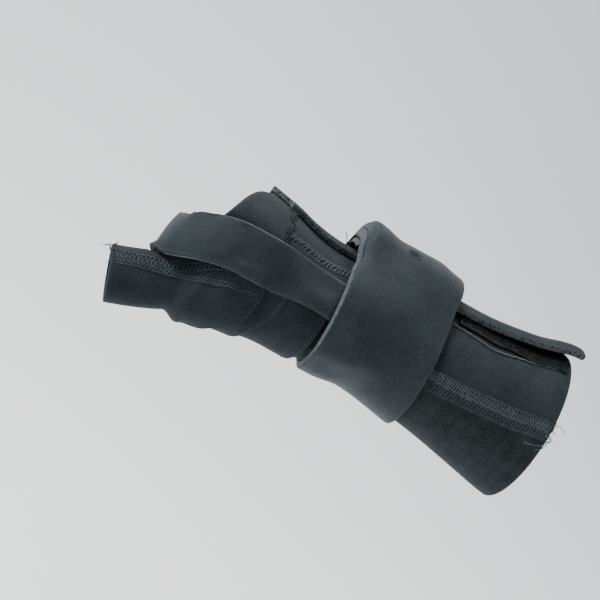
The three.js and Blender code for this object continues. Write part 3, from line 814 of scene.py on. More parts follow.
def wrist_strap() -> Layer:
    """The wide strap, one turn and an overlap round the wrist.

    Returns:
        The layer.
    """
    def under(x: Array, angle: Array) -> Array:
        turn = np.mod(angle, 360)
        near = np.where(turn > 180, turn - 360, turn)
        flap = flap_height(x, turn) * smoothstep(turn, FLAP_EDGE - 22, FLAP_EDGE - 4)
        off = np.abs(near - NARROW_ANGLE) - NARROW_HALF
        past = smoothstep(x, NARROW_X + RIDE_END[0], NARROW_X + RIDE_END[1])
        over_narrow = (1 - smoothstep(off, *RIDE_SIDE)) * (1 - past)
        bulge = (WRIST_STRAP_SLACK * (1 - smoothstep(x, *SLACK_END))
                 + WRIST_STRAP_HUMP * (1 - smoothstep(x, *HUMP_END)))
        slack = (bulge * smoothstep(x, STRAP_HAND_EDGE - 2, STRAP_HAND_EDGE + 5)
                 * smoothstep(turn, *SLACK_RISE) * (1 - smoothstep(turn, *SLACK_FALL)))
        return SLEEVE_WALL + LAYER_GAP + slack + flap + (WEB_STRAP_WALL + 3 * LAYER_GAP) * over_narrow

    def point(u: Array, v: Array, height: float) -> Array:
        angle = WRIST_STRAP_START + v * (360 + WRIST_STRAP_OVERLAP)
        slant = WRIST_STRAP_SLANT * (1 - np.sin(np.radians(angle))) / 2
        x = WRIST_STRAP_MIDDLE + slant + (u - 0.5) * WRIST_STRAP_WIDTH
        over_start = smoothstep(angle, WRIST_STRAP_START + CLIMB[0], WRIST_STRAP_START + CLIMB[1])
        climb = (WRIST_STRAP_WALL + LAYER_GAP) * over_start
        return BODY.on_limb(x, angle, under(x, angle) + climb + height)

    return Layer("wrist_strap", WRIST_STRAP_WALL, rows=36, columns=230, point=point,
                 bevel=(1.3, 0.3, 0.0, 0.6), pull=160)


class Part(Enum):
    """The parts of a sheet that take a finish of their own."""

    FACE = 0
    LINING = 1
    EDGE = 2


def point_attribute(mesh: bpy.types.Mesh, name: str, values: Array) -> None:
    """Keeps a value or a vector for each point of a mesh.

    Args:
        mesh: The mesh.
        name: What shaders and node trees read it by.
        values: One value or one vector a point.
    """
    kind, key = ("FLOAT", "value") if values.ndim == 1 else ("FLOAT_VECTOR", "vector")
    data = mesh.attributes.new(name, kind, "POINT").data
    data.foreach_set(key, np.ascontiguousarray(values, np.float32).ravel())


def shown(mesh: bpy.types.Mesh, name: str) -> Piece:
    """An object of a mesh, in the scene at the origin.

    Args:
        mesh: The mesh.
        name: The object's name.

    Returns:
        The object.
    """
    made = bpy.data.objects.new(name, mesh)
    bpy.context.scene.collection.objects.link(made)
    return made


def settled(made: Piece) -> Piece:
    """Turns an object's modifiers into its own mesh.

    Args:
        made: The object.

    Returns:
        The same object, with a plain mesh and no modifiers.
    """
    graph = bpy.context.evaluated_depsgraph_get()
    mesh = bpy.data.meshes.new_from_object(made.evaluated_get(graph), preserve_all_data_layers=True,
                                           depsgraph=graph)
    mesh.name = made.name
    made.modifiers.clear()
    made.data = mesh
    return made


@dataclass
class ClothMesh:
    """A layer as a closed mesh with rounded cut edges.

    Attributes:
        layer: What to build.
        seam_inset: How far the second row of points lies from the edge, in millimetres.
        profile: The cut edge's rounding: shares of the wall, and of the rim's bulge.
    """

    layer: Layer
    seam_inset: float = 0.4
    profile: tuple[tuple[float, float], ...] = (
        (0.93, 0.45), (0.8, 0.8), (0.6, 0.97), (0.4, 0.97), (0.2, 0.8), (0.07, 0.45),
    )

    def _length(self, u: Array | float, v: Array | float) -> float:
        """The length of a line on the inner face.

        Args:
            u: Shares along the sheet.
            v: Shares across it.

        Returns:
            Millimetres.
        """
        return float(np.linalg.norm(np.diff(self.layer.at(u, v, 0), axis=0), axis=1).sum())

    def _shares(self, count: int, length: float) -> Array:
        """Where the rows of points lie, with one more close to each end.

        Args:
            count: How many stretches there are.
            length: The sheet's size in millimetres.

        Returns:
            Shares from 0 to 1.
        """
        inset = self.seam_inset / length
        return np.concatenate([[0, inset], np.linspace(0, 1, count + 1)[1:-1], [1 - inset, 1]])

    def build(self) -> Piece:
        """Makes the sheet.

        Returns:
            Its object, with the cloth's own measure in millimetres as a UV map, and the attributes rim and
            near.
        """
        layer = self.layer
        long, wide = self._length(np.linspace(0, 1, 9), 0.5), self._length(0.5, np.linspace(0, 1, 33))
        u = self._shares(layer.rows, long)
        v = np.linspace(0, 1, layer.columns + 1)[:-1] if layer.ring else self._shares(layer.columns, wide)
        n, m = len(u), len(v)
        grid_u, grid_v = np.meshgrid(u, v, indexing="ij")
        sides = (grid_u * long, (1 - grid_u) * long, grid_v * wide, (1 - grid_v) * wide)
        short = [drawn * np.exp(-np.maximum(away, 0) / BEVEL_FADE) for drawn, away in zip(layer.bevel, sides)]
        outer_u, outer_v = grid_u + (short[0] - short[1]) / long, grid_v + (short[2] - short[3]) / wide
        outer = layer.at(outer_u, outer_v, layer.wall).reshape(n, m, 3)
        inner = layer.at(grid_u, grid_v, 0.0).reshape(n, m, 3)
        if layer.pull:
            outer, inner = self._drawn_taut(outer, inner)
        uv = np.stack([grid_u * long, grid_v * wide], axis=-1)
        far = np.full((n, m), FAR_FROM_EDGE)
        for away, edge in zip(sides[:2] if layer.ring else sides, layer.edges):
            if edge is Edge.CUT:
                far = np.minimum(far, away)
        points, uvs = [outer.reshape(-1, 3), inner.reshape(-1, 3)], [uv.reshape(-1, 2)] * 2
        rim, near = [np.ones(n * m), np.zeros(n * m)], [far.ravel()] * 2
        faces, parts = self._grid_faces(n, m)
        for border, cut in self._borders(n, m):
            i, j = border[:, 0], border[:, 1]
            beside = np.clip(i, 1, n - 2), j if layer.ring else np.clip(j, 1, m - 2)
            outward = unit(outer[i, j] - outer[beside])
            weight = (cut * np.roll(cut, 1))[:, None]
            loops = [i * m + j]
            for share, bulge in self.profile:
                loops.append(sum(map(len, points)) + np.arange(len(border)))
                points.append(mix(inner[i, j], outer[i, j], share) + outward * weight * bulge * layer.rim)
                uvs.append(uv[i, j])
                rim.append(np.full(len(border), share))
                near.append(np.zeros(len(border)))
            loops.append(n * m + i * m + j)
            for a, b in zip(loops, loops[1:]):
                faces.append(np.stack([a, b, np.roll(b, -1), np.roll(a, -1)], axis=-1))
                parts.append(np.where(cut > 0, Part.EDGE.value, Part.FACE.value))
        return self._object(np.vstack(points), np.vstack(uvs), np.concatenate(rim), np.concatenate(near),
                            np.vstack(faces), np.concatenate(parts))

    def _drawn_taut(self, outer: Array, inner: Array) -> tuple[Array, Array]:
        """Lifts the sheet where it would sink into a hollow, as a strap under tension bridges it.

        Args:
            outer: The points of its outer face.
            inner: The points of its inner face.

        Returns:
            Both faces, lifted together.
        """
        out = unit(outer - inner)
        lift = np.zeros(inner.shape[:2])
        for _ in range(self.layer.pull):
            now = inner + out * lift[..., None]
            padded = np.concatenate([2 * now[:1] - now[1:2], now, 2 * now[-1:] - now[-2:-1]])
            even = (padded[:-2] + padded[2:]) / 2
            even[:, 1:-1] = mix(even[:, 1:-1], (now[:, :-2] + now[:, 2:]) / 2, TAUT_ACROSS)
            drawn = np.einsum("ijk,ijk->ij", even - inner, out)
            lift[:, 1:-1] = np.maximum(drawn[:, 1:-1], 0)
        rise = out * lift[..., None]
        return outer + rise, inner + rise

    def _grid_faces(self, n: int, m: int) -> tuple[list[Array], list[Array]]:
        """The quads of both faces.

        Args:
            n: Points along u.
            m: Points along v.

        Returns:
            Their corners, and the part that each belongs to.
        """
        j = np.arange(m if self.layer.ring else m - 1)
        i, j = np.meshgrid(np.arange(n - 1), j, indexing="ij")
        i, j, k = i.ravel(), j.ravel(), (j.ravel() + 1) % m
        quads = np.stack([i * m + j, i * m + k, (i + 1) * m + k, (i + 1) * m + j], axis=-1)
        parts = [np.full(len(quads), part.value) for part in (Part.FACE, Part.LINING)]
        return [quads, quads[:, ::-1] + n * m], parts

    def _borders(self, n: int, m: int) -> list[tuple[Array, Array]]:
        """The loops of points along the sheet's edges.

        Args:
            n: Points along u.
            m: Points along v.

        Returns:
            For each loop its points as (i, j), and 1 for each stretch after a point that is cut or 0 where it
            is sewn.
        """
        is_cut = [float(edge is Edge.CUT) for edge in self.layer.edges]
        if self.layer.ring:
            rings = (0, range(m), is_cut[0]), (n - 1, range(m - 1, -1, -1), is_cut[1])
            return [(np.array([(i, j) for j in round_it]), np.full(m, cut)) for i, round_it, cut in rings]
        runs = [([(0, j) for j in range(m - 1)], is_cut[0]),
                ([(i, m - 1) for i in range(n - 1)], is_cut[3]),
                ([(n - 1, j) for j in range(m - 1, 0, -1)], is_cut[1]),
                ([(i, 0) for i in range(n - 1, 0, -1)], is_cut[2])]
        border = np.array([place for run, _ in runs for place in run])
        return [(border, np.concatenate([np.full(len(run), cut) for run, cut in runs]))]

    def _object(self, points: Array, uvs: Array, rim: Array, near: Array,
                faces: Array, parts: Array) -> Piece:
        """Puts the arrays into an object.

        Args:
            points: In millimetres.
            uvs: The cloth's own measure at each point.
            rim: 1 at the outer face to 0 at the inner one.
            near: Millimetres to the nearest cut edge.
            faces: Four corners a row.
            parts: The part of each face.

        Returns:
            The object.
        """
        corner = points[faces]
        volume = np.einsum("ij,ij->i", corner[:, 0], np.cross(corner[:, 1], corner[:, 2])).sum()
        volume += np.einsum("ij,ij->i", corner[:, 0], np.cross(corner[:, 2], corner[:, 3])).sum()
        if volume < 0:
            faces = faces[:, ::-1]
        mesh = bpy.data.meshes.new(self.layer.name)
        mesh.from_pydata((points * MM).tolist(), [], faces.tolist())
        mesh.polygons.foreach_set("material_index", parts.astype(np.int32))
        mesh.polygons.foreach_set("use_smooth", np.ones(len(faces), bool))
        mesh.uv_layers.new(name="cloth").data.foreach_set("uv", uvs[faces.ravel()].astype(np.float32).ravel())
        point_attribute(mesh, "rim", rim)
        point_attribute(mesh, "near", near)
        mesh.update()
        return shown(mesh, "cloth_" + self.layer.name)


@dataclass
class Path:
    """A line on the cloth that stitches follow.

    Attributes:
        points: In millimetres.
        out: The direction off the cloth at each point.
    """

    points: Array
    out: Array

    @classmethod
    def over(cls, points: Array, inside: Array) -> "Path":
        """A path whose outward directions are found from a second line under it.

        Args:
            points: The path.
            inside: The same line, deeper in the cloth.

        Returns:
            The path.
        """
        return cls(points, unit(points - inside))

    def shifted(self, across: float, out: float = 0.0) -> "Path":
        """The path moved sideways and off the cloth.

        Args:
            across: Millimetres to its left, seen from outside and looking along it.
            out: Millimetres off the cloth.

        Returns:
            The moved path.
        """
        return Path(self.points + self.across() * across + self.out * out, self.out)

    def across(self) -> Array:
        """The directions to the path's left.

        Returns:
            Unit vectors.
        """
        return unit(np.cross(self.out, np.gradient(self.points, axis=0)))

    def mesh(self, name: str) -> Piece:
        """The path as a line of edges that the stitch trees read.

        Args:
            name: The object's name.

        Returns:
            The object.
        """
        mesh = bpy.data.meshes.new(name)
        count = len(self.points)
        mesh.from_pydata((self.points * MM).tolist(), [(i, i + 1) for i in range(count - 1)], [])
        point_attribute(mesh, "out", self.out)
        point_attribute(mesh, "across", self.across())
        return shown(mesh, name)


class NodeBuilder:
    """What builds the nodes of a tree, whether of geometry or of a material."""

    tree: bpy.types.NodeTree

    def node(self, kind: str, settings: dict | None = None, **inputs: object) -> bpy.types.Node:
        """Adds a node.

        Args:
            kind: The node's type.
            settings: Its own properties.
            **inputs: What feeds each input, with _ for a blank in its name.

        Returns:
            The node.
        """
        made = self.tree.nodes.new(kind)
        for key, value in (settings or {}).items():
            setattr(made, key, value)
        for key, value in inputs.items():
            self.feed(next(s for s in made.inputs if s.name == key.replace("_", " ") and s.enabled), value)
        return made

    def feed(self, socket: Socket, value: object) -> None:
        """Links or sets one input.

        Args:
            socket: The input.
            value: A value to set, or a socket or a node to link, a node by its first output.
        """
        if isinstance(value, bpy.types.Node):
            value = value.outputs[0]
        if isinstance(value, Socket):
            self.tree.links.new(value, socket)
        else:
            socket.default_value = value

    def math(self, operation: str, *values: object, clamp: bool = False) -> Socket:
        """Adds a number operation.

        Args:
            operation: Its name.
            *values: Its inputs.
            clamp: Whether to keep the result from 0 to 1.

        Returns:
            The result.
        """
        made = self.node("ShaderNodeMath", {"operation": operation, "use_clamp": clamp})
        for socket, value in zip(made.inputs, values):
            self.feed(socket, value)
        return made.outputs[0]


class StitchTree(NodeBuilder):
    """A geometry node tree that is built once and set through its named inputs."""

    name = "tree"
    inputs: dict[str, tuple[str, object]] = {}

    def __init__(self) -> None:
        self.tree = bpy.data.node_groups.new(self.name, "GeometryNodeTree")
        face = self.tree.interface
        face.new_socket("Path", in_out="INPUT", socket_type="NodeSocketGeometry")
        self.ids = {}
        for label, (kind, default) in self.inputs.items():
            socket = face.new_socket(label, in_out="INPUT", socket_type="NodeSocket" + kind)
            if default is not None:
                socket.default_value = default
            self.ids[label] = socket.identifier
        face.new_socket("Stitches", in_out="OUTPUT", socket_type="NodeSocketGeometry")
        self.start = self.node("NodeGroupInput")
        realized = self.node("GeometryNodeRealizeInstances", Geometry=self.body())
        painted = self.node("GeometryNodeSetMaterial", Geometry=realized,
                            Material=self.given("Material"))
        self.tree.links.new(painted.outputs[0], self.node("NodeGroupOutput").inputs[0])

    def given(self, label: str) -> Socket:
        """One of the tree's inputs.

        Args:
            label: Its name.

        Returns:
            The socket that carries it.
        """
        return self.start.outputs[label]

    def sampled(self, length: object) -> Socket:
        """The path with a point at each step.

        Args:
            length: The step.

        Returns:
            The curve.
        """
        curve = self.node("GeometryNodeMeshToCurve", Mesh=self.given("Path"))
        return self.node("GeometryNodeResampleCurve", {"mode": "LENGTH"}, Curve=curve,
                         Length=length).outputs[0]

    def vector(self, operation: str, *values: object, scale: object = None) -> Socket:
        """Adds a vector operation.

        Args:
            operation: Its name.
            *values: Its vector inputs.
            scale: The factor, for SCALE.

        Returns:
            The result.
        """
        made = self.node("ShaderNodeVectorMath", {"operation": operation})
        for socket, value in zip(made.inputs, values):
            self.feed(socket, value)
        if scale is not None:
            self.feed(made.inputs["Scale"], scale)
        return made.outputs[0]

    def read(self, attribute: str) -> Socket:
        """Reads a vector that the path carries.

        Args:
            attribute: Its name.

        Returns:
            The vector.
        """
        return self.node("GeometryNodeInputNamedAttribute", {"data_type": "FLOAT_VECTOR"},
                         Name=attribute).outputs[0]

    def body(self) -> Socket:
        """Builds what is the tree's own.

        Returns:
            The geometry before it is realized.
        """
        raise NotImplementedError

    def along(self, path: Path, name: str, **values: object) -> Piece:
        """Runs the tree on a path and keeps the result as a plain mesh.

        Args:
            path: What the stitches follow.
            name: The new object's name.
            **values: A value for each input, with _ for a blank in its name.

        Returns:
            The object.
        """
        made = path.mesh(name)
        modifier = made.modifiers.new(self.name, "NODES")
        modifier.node_group = self.tree
        for label, value in values.items():
            modifier[self.ids[label.replace("_", " ")]] = value
        return settled(made)


class LoopTree(StitchTree):
    """A thread that swings from side to side of its path in loops, as a flatlock or zigzag seam's does."""

    name = "loop_seam"
    inputs = {"Pitch": ("Float", 0.0014), "Width": ("Float", 0.003), "Height": ("Float", 0.0004),
              "Loop": ("Float", 0.3), "Jitter": ("Float", 0.2), "Thread": ("Float", 0.00022),
              "Seed": ("Float", 1.0), "Material": ("Material", None)}
    points_a_loop = 16

    def body(self) -> Socket:
        """The looping thread.

        Returns:
            Its mesh.
        """
        even = self.sampled(self.math("DIVIDE", self.given("Pitch"), float(self.points_a_loop)))
        length = self.node("GeometryNodeSplineParameter").outputs["Length"]
        turns = self.math("DIVIDE", length, self.given("Pitch"))
        place = self.math("ADD", self.math("MULTIPLY", turns, 0.7), self.given("Seed"))
        noise = self.node("ShaderNodeTexNoise", {"noise_dimensions": "1D"}, W=place, Scale=1.0)
        wander = self.math("MULTIPLY", self.math("SUBTRACT", noise, 0.5), self.given("Jitter"))
        turn = self.math("MULTIPLY", self.math("ADD", turns, wander), math.tau)
        half = self.math("MULTIPLY", self.given("Width"), 0.5)
        wide = self.math("MULTIPLY", self.math("ADD", wander, 1.0), half)
        swing = self.math("MULTIPLY", self.math("COSINE", turn), wide)
        lean = self.math("MULTIPLY", self.math("SINE", self.math("MULTIPLY", turn, 2.0)),
                         self.math("MULTIPLY", self.given("Loop"), self.given("Pitch")))
        over = self.math("ADD", self.math("MULTIPLY", self.math("SINE", turn), 0.5), 0.5)
        lift = self.math("MULTIPLY", over, self.given("Height"))
        offset = self.vector("ADD", self.vector("SCALE", self.read("across"), scale=swing),
                             self.vector("SCALE", self.read("out"), scale=lift))
        tangent = self.node("GeometryNodeInputTangent").outputs[0]
        offset = self.vector("ADD", offset, self.vector("SCALE", tangent, scale=lean))
        moved = self.node("GeometryNodeSetPosition", Geometry=even, Offset=offset)
        ring = self.node("GeometryNodeCurvePrimitiveCircle", Resolution=6, Radius=self.given("Thread"))
        tube = self.node("GeometryNodeCurveToMesh", Curve=moved, Profile_Curve=ring,
                         Fill_Caps=True)
        return self.node("GeometryNodeSetShadeSmooth", Geometry=tube).outputs[0]


class DashTree(StitchTree):
    """Short straight stitches in a row."""

    name = "dash_seam"
    inputs = {"Pitch": ("Float", 0.0026), "Dash": ("Float", 0.0019), "Thread": ("Float", 0.0002),
              "Seed": ("Int", 3), "Material": ("Material", None)}

    def body(self) -> Socket:
        """The dashes.

        Returns:
            Their instances.
        """
        ball = self.node("GeometryNodeMeshIcoSphere", Radius=1.0, Subdivisions=2)
        smooth = self.node("GeometryNodeSetShadeSmooth", Geometry=ball)
        tangent = self.node("GeometryNodeInputTangent").outputs[0]
        first = self.node("FunctionNodeAlignRotationToVector", {"axis": "Z"}, Vector=tangent)
        turned = self.node("FunctionNodeAlignRotationToVector", {"axis": "X", "pivot_axis": "Z"},
                           Rotation=first, Vector=self.read("out"))
        vary = self.node("FunctionNodeRandomValue", {"data_type": "FLOAT"}, Min=0.85, Max=1.1,
                         Seed=self.given("Seed"))
        long = self.math("MULTIPLY", self.math("MULTIPLY", self.given("Dash"), 0.5), vary.outputs[1])
        size = self.node("ShaderNodeCombineXYZ", X=self.given("Thread"), Y=self.given("Thread"), Z=long)
        placed = self.node("GeometryNodeInstanceOnPoints", Points=self.sampled(self.given("Pitch")),
                           Instance=smooth, Rotation=turned, Scale=size)
        return placed.outputs[0]


class FrayTree(StitchTree):
    """Loose fibres that stand off a cut edge."""

    name = "frayed_edge"
    inputs = {"Spacing": ("Float", 0.0004), "Length": ("Float", 0.003), "Least": ("Float", 0.3),
              "Spread": ("Float", 0.9), "Bend": ("Float", 0.5), "Thread": ("Float", 0.00008),
              "Seed": ("Int", 5), "Material": ("Material", None)}

    def body(self) -> Socket:
        """The fibres.

        Returns:
            Their instances.
        """
        line = self.node("GeometryNodeCurvePrimitiveLine", End=(0.0, 0.0, 1.0))
        fine = self.node("GeometryNodeResampleCurve", {"mode": "COUNT"}, Curve=line, Count=7)
        share = self.node("GeometryNodeSplineParameter").outputs["Factor"]
        bow = self.math("MULTIPLY", self.math("MULTIPLY", share, share), self.given("Bend"))
        wave = self.math("MULTIPLY", self.math("SINE", self.math("MULTIPLY", share, 5.0)),
                         self.math("MULTIPLY", self.given("Bend"), 0.22))
        offset = self.node("ShaderNodeCombineXYZ", X=bow, Y=wave, Z=self.math("MULTIPLY", bow, -0.3))
        bent = self.node("GeometryNodeSetPosition", Geometry=fine, Offset=offset)
        radius = self.math("DIVIDE", self.given("Thread"), self.given("Length"))
        ring = self.node("GeometryNodeCurvePrimitiveCircle", Resolution=4, Radius=radius)
        hair = self.node("GeometryNodeCurveToMesh", Curve=bent, Profile_Curve=ring)
        turn = self.node("FunctionNodeAlignRotationToVector", {"axis": "Z"}, Vector=self.read("out"))
        low = self.vector("SCALE", (-1.0, -1.0, -3.0), scale=self.given("Spread"))
        high = self.vector("SCALE", (1.0, 1.0, 3.0), scale=self.given("Spread"))
        tilt = self.node("FunctionNodeRandomValue", {"data_type": "FLOAT_VECTOR"}, Min=low, Max=high,
                         Seed=self.given("Seed"))
        both = self.node("FunctionNodeRotateRotation", {"rotation_space": "LOCAL"}, Rotation=turn,
                         Rotate_By=tilt)
        vary = self.node("FunctionNodeRandomValue", {"data_type": "FLOAT"}, Min=self.given("Least"), Max=1.0,
                         Seed=self.given("Seed"))
        size = self.math("MULTIPLY", vary.outputs[1], self.given("Length"))
        placed = self.node("GeometryNodeInstanceOnPoints", Points=self.sampled(self.given("Spacing")),
                           Instance=hair, Rotation=both, Scale=size)
        whole = self.node("GeometryNodeRealizeInstances", Geometry=placed)
        return self.node("GeometryNodeSetShadeSmooth", Geometry=whole).outputs[0]


DRESSED = "dressed_"  # keeps these materials apart from the CAD's, which have the slots' names


@dataclass
class Shader(NodeBuilder):
    """A material that is built node by node.

    Attributes:
        name: The material's name.
    """

    name: str

    def __post_init__(self) -> None:
        self.material = bpy.data.materials.new(DRESSED + self.name)
        self.material.use_nodes = True
        self.tree = self.material.node_tree
        self.surface = self.tree.nodes["Principled BSDF"]

    def noise(self, pitch: float, detail: float = 2.0, rough: float = 0.6) -> Socket:
        """Solid noise fixed to the piece.

        Args:
            pitch: The size of its patches in millimetres.
            detail: How many finer layers it has.
            rough: How strong they are.

        Returns:
            Values round 0.5.
        """
        where = self.node("ShaderNodeTexCoord").outputs["Object"]
        return self.node("ShaderNodeTexNoise", Vector=where, Scale=1 / (pitch * MM), Detail=detail,
                         Roughness=rough).outputs[0]

    def range(self, value: Socket, low: float, high: float, to_low: float = 0.0,
              to_high: float = 1.0) -> Socket:
        """Maps one range onto another, clamped.

        Args:
            value: What to map.
            low: Where it starts.
            high: Where it ends.
            to_low: What the start becomes.
            to_high: What the end becomes.

        Returns:
            The mapped value.
        """
        return self.node("ShaderNodeMapRange", Value=value, From_Min=low, From_Max=high, To_Min=to_low,
                         To_Max=to_high).outputs[0]

    def attribute(self, name: str) -> Socket:
        """A number that the piece's points carry.

        Args:
            name: Its name.

        Returns:
            The number.
        """
        return self.node("ShaderNodeAttribute", {"attribute_name": name}).outputs["Fac"]

    def colours(self, share: Socket, *stops: tuple[float, Colour]) -> Socket:
        """A ramp of colours.

        Args:
            share: Where on the ramp, from 0 to 1.
            *stops: Places and linear colours.

        Returns:
            The colour.
        """
        ramp = self.node("ShaderNodeValToRGB", Fac=share)
        elements = ramp.color_ramp.elements
        while len(elements) < len(stops):
            elements.new(0.5)
        for element, (place, colour) in zip(elements, stops):
            element.position, element.color = place, (*colour, 1)
        return ramp.outputs[0]

    def finish(self, colour: Socket, roughness: object, height: Socket,
               depth: float, strength: float, sheen: float = 0.0) -> bpy.types.Material:
        """Feeds the surface.

        Args:
            colour: Its colour.
            roughness: A socket or a value.
            height: The relief, from 0 to 1.
            depth: The relief's size in millimetres.
            strength: How strong it shows.
            sheen: The fuzz's share.

        Returns:
            The material.
        """
        bump = self.node("ShaderNodeBump", Height=height, Distance=depth * MM, Strength=strength)
        self.feed(self.surface.inputs["Base Color"], colour)
        self.feed(self.surface.inputs["Roughness"], roughness)
        self.feed(self.surface.inputs["Normal"], bump)
        self.surface.inputs["Sheen Weight"].default_value = sheen
        self.surface.inputs["Sheen Roughness"].default_value = 0.45
        self.surface.inputs["Sheen Tint"].default_value = (0.62, 0.72, 0.82, 1)
        self.surface.inputs["Specular IOR Level"].default_value = 0.2
        return self.material


@dataclass(frozen=True)
class Knit:
    """A knitted face, with its ribs, stitches and fuzz.

    Attributes:
        name: The material's name.
        dark: The colour between the yarns, painted shade in the gaps between them.
        light: The colour on them, painted highlight on the raised yarn.
        rib: The pitch of the ribs, in millimetres.
        rib_share: How strong they are, from 0 to 1.
        stitch: The pitch of the stitches along a rib, in millimetres.
        grain: The size of the brushed grain, in millimetres.
        grain_share: How strong it is.
        depth: The relief in millimetres.
        sheen: The fuzz's share.
        roughness: The least and most roughness.
        emboss: The pitch of a faint grid pressed in, or 0.
    """

    name: str
    dark: Colour
    light: Colour
    rib: float = 1.1
    rib_share: float = 0.5
    stitch: float = 0.9
    grain: float = 0.55
    grain_share: float = 0.5
    depth: float = 0.16
    sheen: float = 0.05
    roughness: tuple[float, float] = (0.72, 0.9)
    emboss: float = 0.0

    def material(self) -> bpy.types.Material:
        """Builds it.

        Returns:
            The material.
        """
        s = Shader(self.name)
        cloth = s.node("ShaderNodeUVMap", {"uv_map": "cloth"}).outputs[0]
        soft = s.node("ShaderNodeTexNoise", Vector=cloth, Scale=0.35, Detail=1.0)
        parts = s.node("ShaderNodeSeparateXYZ", Vector=cloth)
        along = s.math("ADD", parts.outputs[0], s.math("MULTIPLY", soft, 0.5))
        across = s.math("ADD", parts.outputs[1], s.math("MULTIPLY", soft, 0.5))
        rib = s.math("ABSOLUTE", s.math("SINE", s.math("MULTIPLY", along, math.pi / self.rib)))
        slant = s.math("MULTIPLY", s.math("PINGPONG", along, self.rib / 2), 0.9)
        row = s.math("MULTIPLY", s.math("ADD", across, slant), math.tau / self.stitch)
        loops = s.math("MULTIPLY_ADD", s.math("SINE", row), 0.5, 0.5)
        yarn = s.math("MULTIPLY", s.math("POWER", rib, 0.7), s.math("MULTIPLY_ADD", loops, 0.45, 0.55))
        grain = s.range(s.noise(self.grain, 3.0, 0.65), 0.32, 0.68)
        relief = s.math("ADD", s.math("MULTIPLY", yarn, self.rib_share),
                        s.math("MULTIPLY", grain, self.grain_share))
        if self.emboss:
            lines = [self._line(s, place) for place in (along, across)]
            relief = s.math("SUBTRACT", relief, s.math("MULTIPLY", s.math("MAXIMUM", *lines), 0.15))
        patches = s.range(s.noise(16.0, 2.0), 0.3, 0.7, -0.14, 0.14)
        # Painted highlight: the face is drawn lighter within 1.6 mm of a cut edge, where the edge catches the
        # light
        edge_highlight = s.range(s.attribute("near"), 0.0, 1.6, 0.3, 0.0)
        share = s.math("ADD", s.math("ADD", s.math("MULTIPLY", relief, 0.75), patches), edge_highlight, clamp=True)
        fuzz = s.range(s.noise(0.9, 1.0), 0.7, 0.76, 0.0, 0.35)
        share = s.math("ADD", share, fuzz, clamp=True)
        # Painted shade and highlight: the colour runs from dark between the yarns to light on them; the
        # grain, patches and lint are tone at random
        colour = s.colours(share, (0.0, self.dark), (1.0, self.light))
        rough = s.range(share, 0.0, 1.0, self.roughness[1], self.roughness[0])
        return s.finish(colour, rough, relief, self.depth, 0.7, self.sheen)

    def _line(self, s: Shader, place: Socket) -> Socket:
        """Narrow lines at the emboss pitch.

        Args:
            s: The shader.
            place: Where across them, in millimetres.

        Returns:
            1 on a line, falling to 0.
        """
        wave = s.math("SINE", s.math("MULTIPLY", place, math.pi / self.emboss))
        return s.math("POWER", s.math("ABSOLUTE", wave), 6.0)


@dataclass(frozen=True)
class Foam:
    """The cut edge of the sheet: grey foam rubber between two dark knits.

    Attributes:
        name: The material's name.
        foam: The foam's colour.
        knit: The knits' colour.
        pores: The size of the pores in millimetres.
        face: How much of the thickness each knit takes.
        depth: How dark the pores are, from 0 to 1, as painted shade in the foam's open cells.
    """

    name: str
    foam: Colour = (0.045, 0.057, 0.061)
    knit: Colour = (0.008, 0.011, 0.0125)
    pores: float = 0.5
    face: float = 0.14
    depth: float = 0.55

    def material(self) -> bpy.types.Material:
        """Builds it.

        Returns:
            The material.
        """
        s = Shader(self.name)
        where = s.node("ShaderNodeTexCoord").outputs["Object"]
        cells = s.node("ShaderNodeTexVoronoi", Vector=where, Scale=1 / (self.pores * MM), Randomness=1.0)
        pores = s.range(cells.outputs["Distance"], 0.24, 0.44)
        uneven = s.range(s.noise(2.4, 2.0), 0.3, 0.7, 0.62, 1.0)
        ragged = s.math("ADD", s.attribute("rim"), s.range(s.noise(0.7), 0.3, 0.7, -0.07, 0.07))
        middle = s.math("SUBTRACT", 0.5, s.math("ABSOLUTE", s.math("SUBTRACT", ragged, 0.5)))
        core = s.range(middle, self.face * 0.6, self.face * 1.2)
        # Painted shade: the pores are darkened where they sink into the foam
        pore_shade = s.math("MULTIPLY_ADD", pores, self.depth, 1 - self.depth)
        share = s.math("MULTIPLY", core, s.math("MULTIPLY", uneven, pore_shade))
        colour = s.colours(share, (0.0, self.knit), (1.0, self.foam))
        return s.finish(colour, 0.88, s.math("MULTIPLY", pores, core), 0.25, 0.8, 0.1)


@dataclass(frozen=True)
class Thread:
    """Textured sewing thread.

    Attributes:
        name: The material's name.
        dark: Its darkest colour.
        light: Its lightest, raised to the brightness of the highlights on the dark thread: painted highlight.
        sheen: The fuzz's share.
    """

    name: str
    dark: Colour = (0.01, 0.0135, 0.015)
    # Painted highlight: the lightest colour is set at the brightness of the thread's highlights, not its own
    # dark colour
    light: Colour = (0.042, 0.056, 0.062)
    sheen: float = 0.08

    def material(self) -> bpy.types.Material:
        """Builds it.

        Returns:
            The material.
        """
        s = Shader(self.name)
        ply = s.noise(0.28, 2.0)
        tone = s.math("ADD", s.math("MULTIPLY", ply, 0.6), s.math("MULTIPLY", s.noise(5.0), 0.4))
        colour = s.colours(s.range(tone, 0.35, 0.65), (0.0, self.dark), (1.0, self.light))
        return s.finish(colour, 0.6, ply, 0.08, 0.8, self.sheen)


